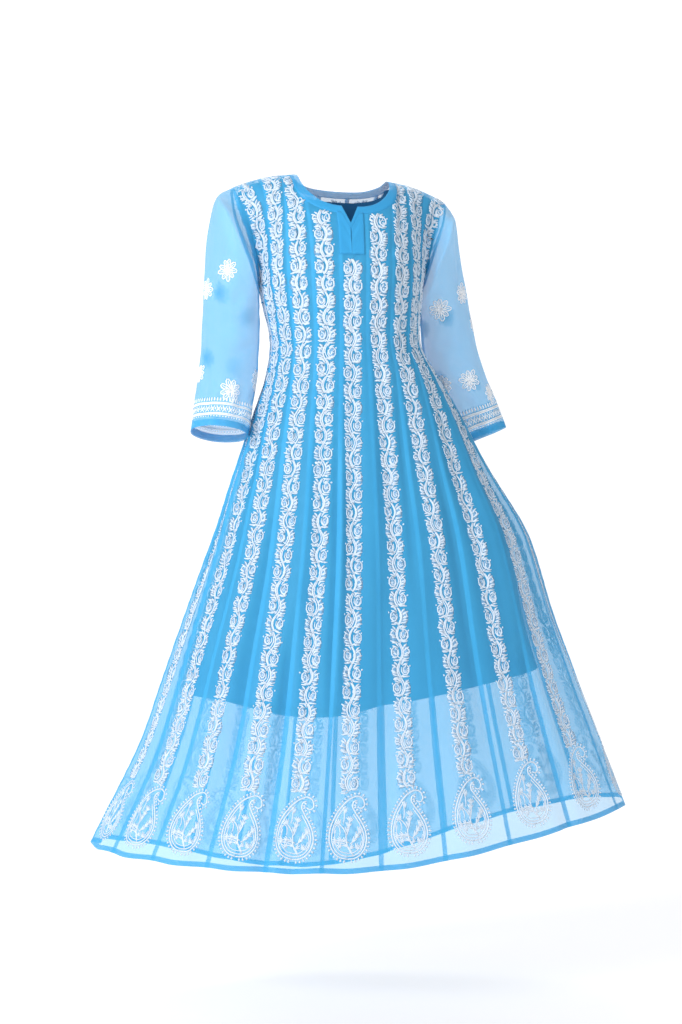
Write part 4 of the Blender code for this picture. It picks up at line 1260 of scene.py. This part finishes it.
PAISLEY = paisley_strokes()


def embroider_kali(number):
    """One kali's vine, from under its top edge down to the hook of its paisley above the hem. Behind, its
    fills end with the lining, because below that they would show through the front as blotches."""
    away, behind = from_middle(number)
    column = number * STEPS
    length = gown.length_down(column)
    foot = length[-1] - PAISLEY_FOOT
    begins = VINE_STARTS["back" if behind else "front"][int(away)]
    rows = np.arange(gown.rows)
    half = gown.at(column + STEPS / 2, rows) - gown.at(column - STEPS / 2, rows)
    reach = np.minimum(VINE_REACH, VINE_FILLS * np.linalg.norm(half, axis=1))
    lining_row = gown.rows - SKIRT_ROWS + LINING_HEM * (SKIRT_ROWS - 1)
    fills_end = np.interp(lining_row, rows, length) if behind else length[-1]
    name, lay = front_or_back(number), beside_column(gown, column)
    for swing, paisley, top_row, lowest, section, finish, ending in (
        (VINE_PATCHES, (), 3, fills_end, FLAT_SECTION, SHADOW_WORK, "shadow_work"),
        (VINE, PAISLEY, 0.3, length[-1], THREAD_SECTION, THREAD, "embroidery"),
    ):
        sets = vine_strokes(swing, begins, foot - PAISLEY_TALL - 0.004, lambda y: np.interp(y, length, reach),
                            length[YOKE_ROWS + CHEST_ROWS], seed=100 + number)
        above = [lines[..., 1].max(axis=1) < lowest for lines, _ in sets]
        sets = [(lines[keep], wide[keep]) for (lines, wide), keep in zip(sets, above)]
        for lines, wide in paisley:
            placed = np.stack([lines[..., 0], foot - lines[..., 1]], axis=-1)
            sets.append((placed, wide))
        sewn_threads(f"{name}_{ending}", sets, lay, top_row, section, finish)


for number in KALI_NUMBERS:
    embroider_kali(number)

# ------------------------------------------------------------
# Sleeve embroidery: loose flowers of nine looped petals, and round each cuff a border of dots, double
# lines and crosses above the plain hem.

# Turns from the shoulder round by the front, metres below the seam, and metres across
FLOWERS = {
    "right": ((0.20, 0.115, 0.038), (0.06, 0.195, 0.036), (0.27, 0.275, 0.040), (0.04, 0.345, 0.034),
              (0.45, 0.175, 0.036), (0.62, 0.110, 0.038), (0.80, 0.160, 0.038), (0.70, 0.245, 0.038),
              (0.88, 0.300, 0.036), (0.54, 0.205, 0.036)),
    "left": ((0.31, 0.095, 0.040), (0.12, 0.150, 0.036), (0.38, 0.205, 0.034), (0.22, 0.275, 0.040),
             (0.05, 0.215, 0.034), (0.09, 0.340, 0.034), (0.62, 0.130, 0.038), (0.80, 0.180, 0.038),
             (0.68, 0.255, 0.038), (0.86, 0.315, 0.036), (0.45, 0.200, 0.034)),
}
FLOWER_PETALS = 9
FLOWER_THREAD = cotton_thread("sleeve_thread", (0.93, 0.94, 0.96), (0.80, 0.85, 0.91), 300)
# The border's rows, in metres up from the cuff's edge, each with its thread's width
BORDER_DOTS = {"above": 0.0185, "pitch": 0.0052, "wide": 0.0026, "thick": 0.0031}
BORDER_LINES = (0.0220, 0.0246, 0.0420, 0.0446)
LINE_THICK = 0.0025
LINE_POINTS = 97
BORDER_BAND = {"from": 0.0275, "to": 0.0390, "pitch": 0.0105, "thick": 0.0024, "sag": 0.0008}
BAND_DOTS = {"half": 0.0024, "thick": 0.0029}
BORDER_TICKS = {"from": 0.0480, "to": 0.0545, "pitch": 0.0054, "thick": 0.0028}


def flower_strokes(across, seed):
    """A flower of one size about its middle: each petal a loop on an ellipse that leans to its own side,
    with a plump stitch from the eye into it."""
    draws = np.random.default_rng(seed)
    loops, stitches = [], []
    for petal in range(FLOWER_PETALS):
        angle = 2 * math.pi * (petal + draws.uniform(-0.12, 0.12)) / FLOWER_PETALS
        size = across / 2 * draws.uniform(0.9, 1.08)
        out = np.array([math.cos(angle), math.sin(angle)])
        aside = np.array([-out[1], out[0]])
        loop = arc(0.66, 0, 0.34, 0.19, -200, 130, LEAF_POINTS)
        loops.append(size * (loop[:, :1] * out + loop[:, 1:] * aside))
        for stitch in (bow(0.04, 0, 0.56, 0.03, 0.02), bow(0.46, -0.02, 0.84, 0.02, 0.01)):
            stitches.append(size * (stitch[:, :1] * out + stitch[:, 1:] * aside))
    return ((np.array(loops), stroke_widths([0.0023] * len(loops), LEAF_POINTS, 0.2)),
            (np.array(stitches), stroke_widths([0.0036, 0.0018] * FLOWER_PETALS, 3, 0.4)))


def scatter_flowers(side, cloth):
    """A sleeve's flowers, each laid beside the column at its own turn."""
    turns = sleeve_turns(side)
    for number, (turn, down, across) in enumerate(FLOWERS[side]):
        column = int(np.argmin(np.abs((turns - turn + 0.5) % 1 - 0.5)))
        placed = [(lines + np.array([0, down]), wide) for lines, wide in flower_strokes(across, 40 + number)]
        name = f"sleeve_{side}_flower_{number + 1}"
        sewn_threads(name, placed, beside_column(cloth, column), finish=FLOWER_THREAD)


def round_the_cuff(cloth):
    """How to lay flat places round a cuff: x metres round from the underarm seam, and y metres down from
    its edge, so that what lies above the edge has y below 0."""
    steps = np.linalg.norm(np.diff(cloth.at(np.arange(cloth.columns + 1), cloth.rows - 4), axis=0), axis=1)
    girth = steps.sum()
    length = cloth.length_down(cloth.columns // 2)

    def lay(flat, out):
        column = flat[..., 0] / girth * cloth.columns
        row = np.interp(length[-1] + flat[..., 1], length, np.arange(cloth.rows))
        return cloth.at(column, row, out), row

    return lay, girth


def repeated(stroke, girth, pitch):
    """A stroke repeated round the cuff, at the whole number of times nearest to its pitch."""
    count = int(round(girth / pitch))
    places = (np.arange(count) + 0.5) * girth / count
    return stroke * (1, -1) + np.stack([places, np.zeros(count)], axis=-1)[:, None, :]


def cuff_border(side, cloth):
    """The border's rows, from the cuff up: dots, two lines, crosses with dots between, two lines, ticks."""
    lay, girth = round_the_cuff(cloth)
    low, high, pitch, thick, sag = (BORDER_BAND[key] for key in ("from", "to", "pitch", "thick", "sag"))
    middle, arm = (low + high) / 2, pitch * 0.36
    dot_y, dot_long = BORDER_DOTS["above"], BORDER_DOTS["wide"] / 3
    rings = [np.stack([np.linspace(0, girth, LINE_POINTS), np.full(LINE_POINTS, -y)], axis=-1)
             for y in BORDER_LINES]
    sets = [(np.array(rings), stroke_widths([LINE_THICK] * len(rings), LINE_POINTS, 0))]
    for stroke, every, wide in (
        (bow(0, dot_y - dot_long, 0, dot_y + dot_long, 0), BORDER_DOTS["pitch"], BORDER_DOTS["thick"]),
        (bow(-arm, low, arm, high, sag), pitch, thick),
        (bow(arm, low, -arm, high, -sag), pitch, thick),
        (bow(pitch / 2, middle - BAND_DOTS["half"], pitch / 2, middle + BAND_DOTS["half"], 0), pitch,
         BAND_DOTS["thick"]),
        (bow(0, BORDER_TICKS["from"], 0, BORDER_TICKS["to"], 0.0002), BORDER_TICKS["pitch"],
         BORDER_TICKS["thick"]),
    ):
        lines = repeated(stroke, girth, every)
        sets.append((lines, stroke_widths([wide] * len(lines), 3, 0.35)))
    sewn_threads(f"sleeve_{side}_border", sets, lay, finish=FLOWER_THREAD)


for side, cloth in sleeves.items():
    scatter_flowers(side, cloth)
    cuff_border(side, cloth)

# ------------------------------------------------------------
# The boxes of the CAD model and of the model built here, for comparison.
boxes = {"cad_box": cad_box, "visual_box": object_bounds()}
boxes = {name: [[float(value) for value in corner] for corner in box] for name, box in boxes.items()}
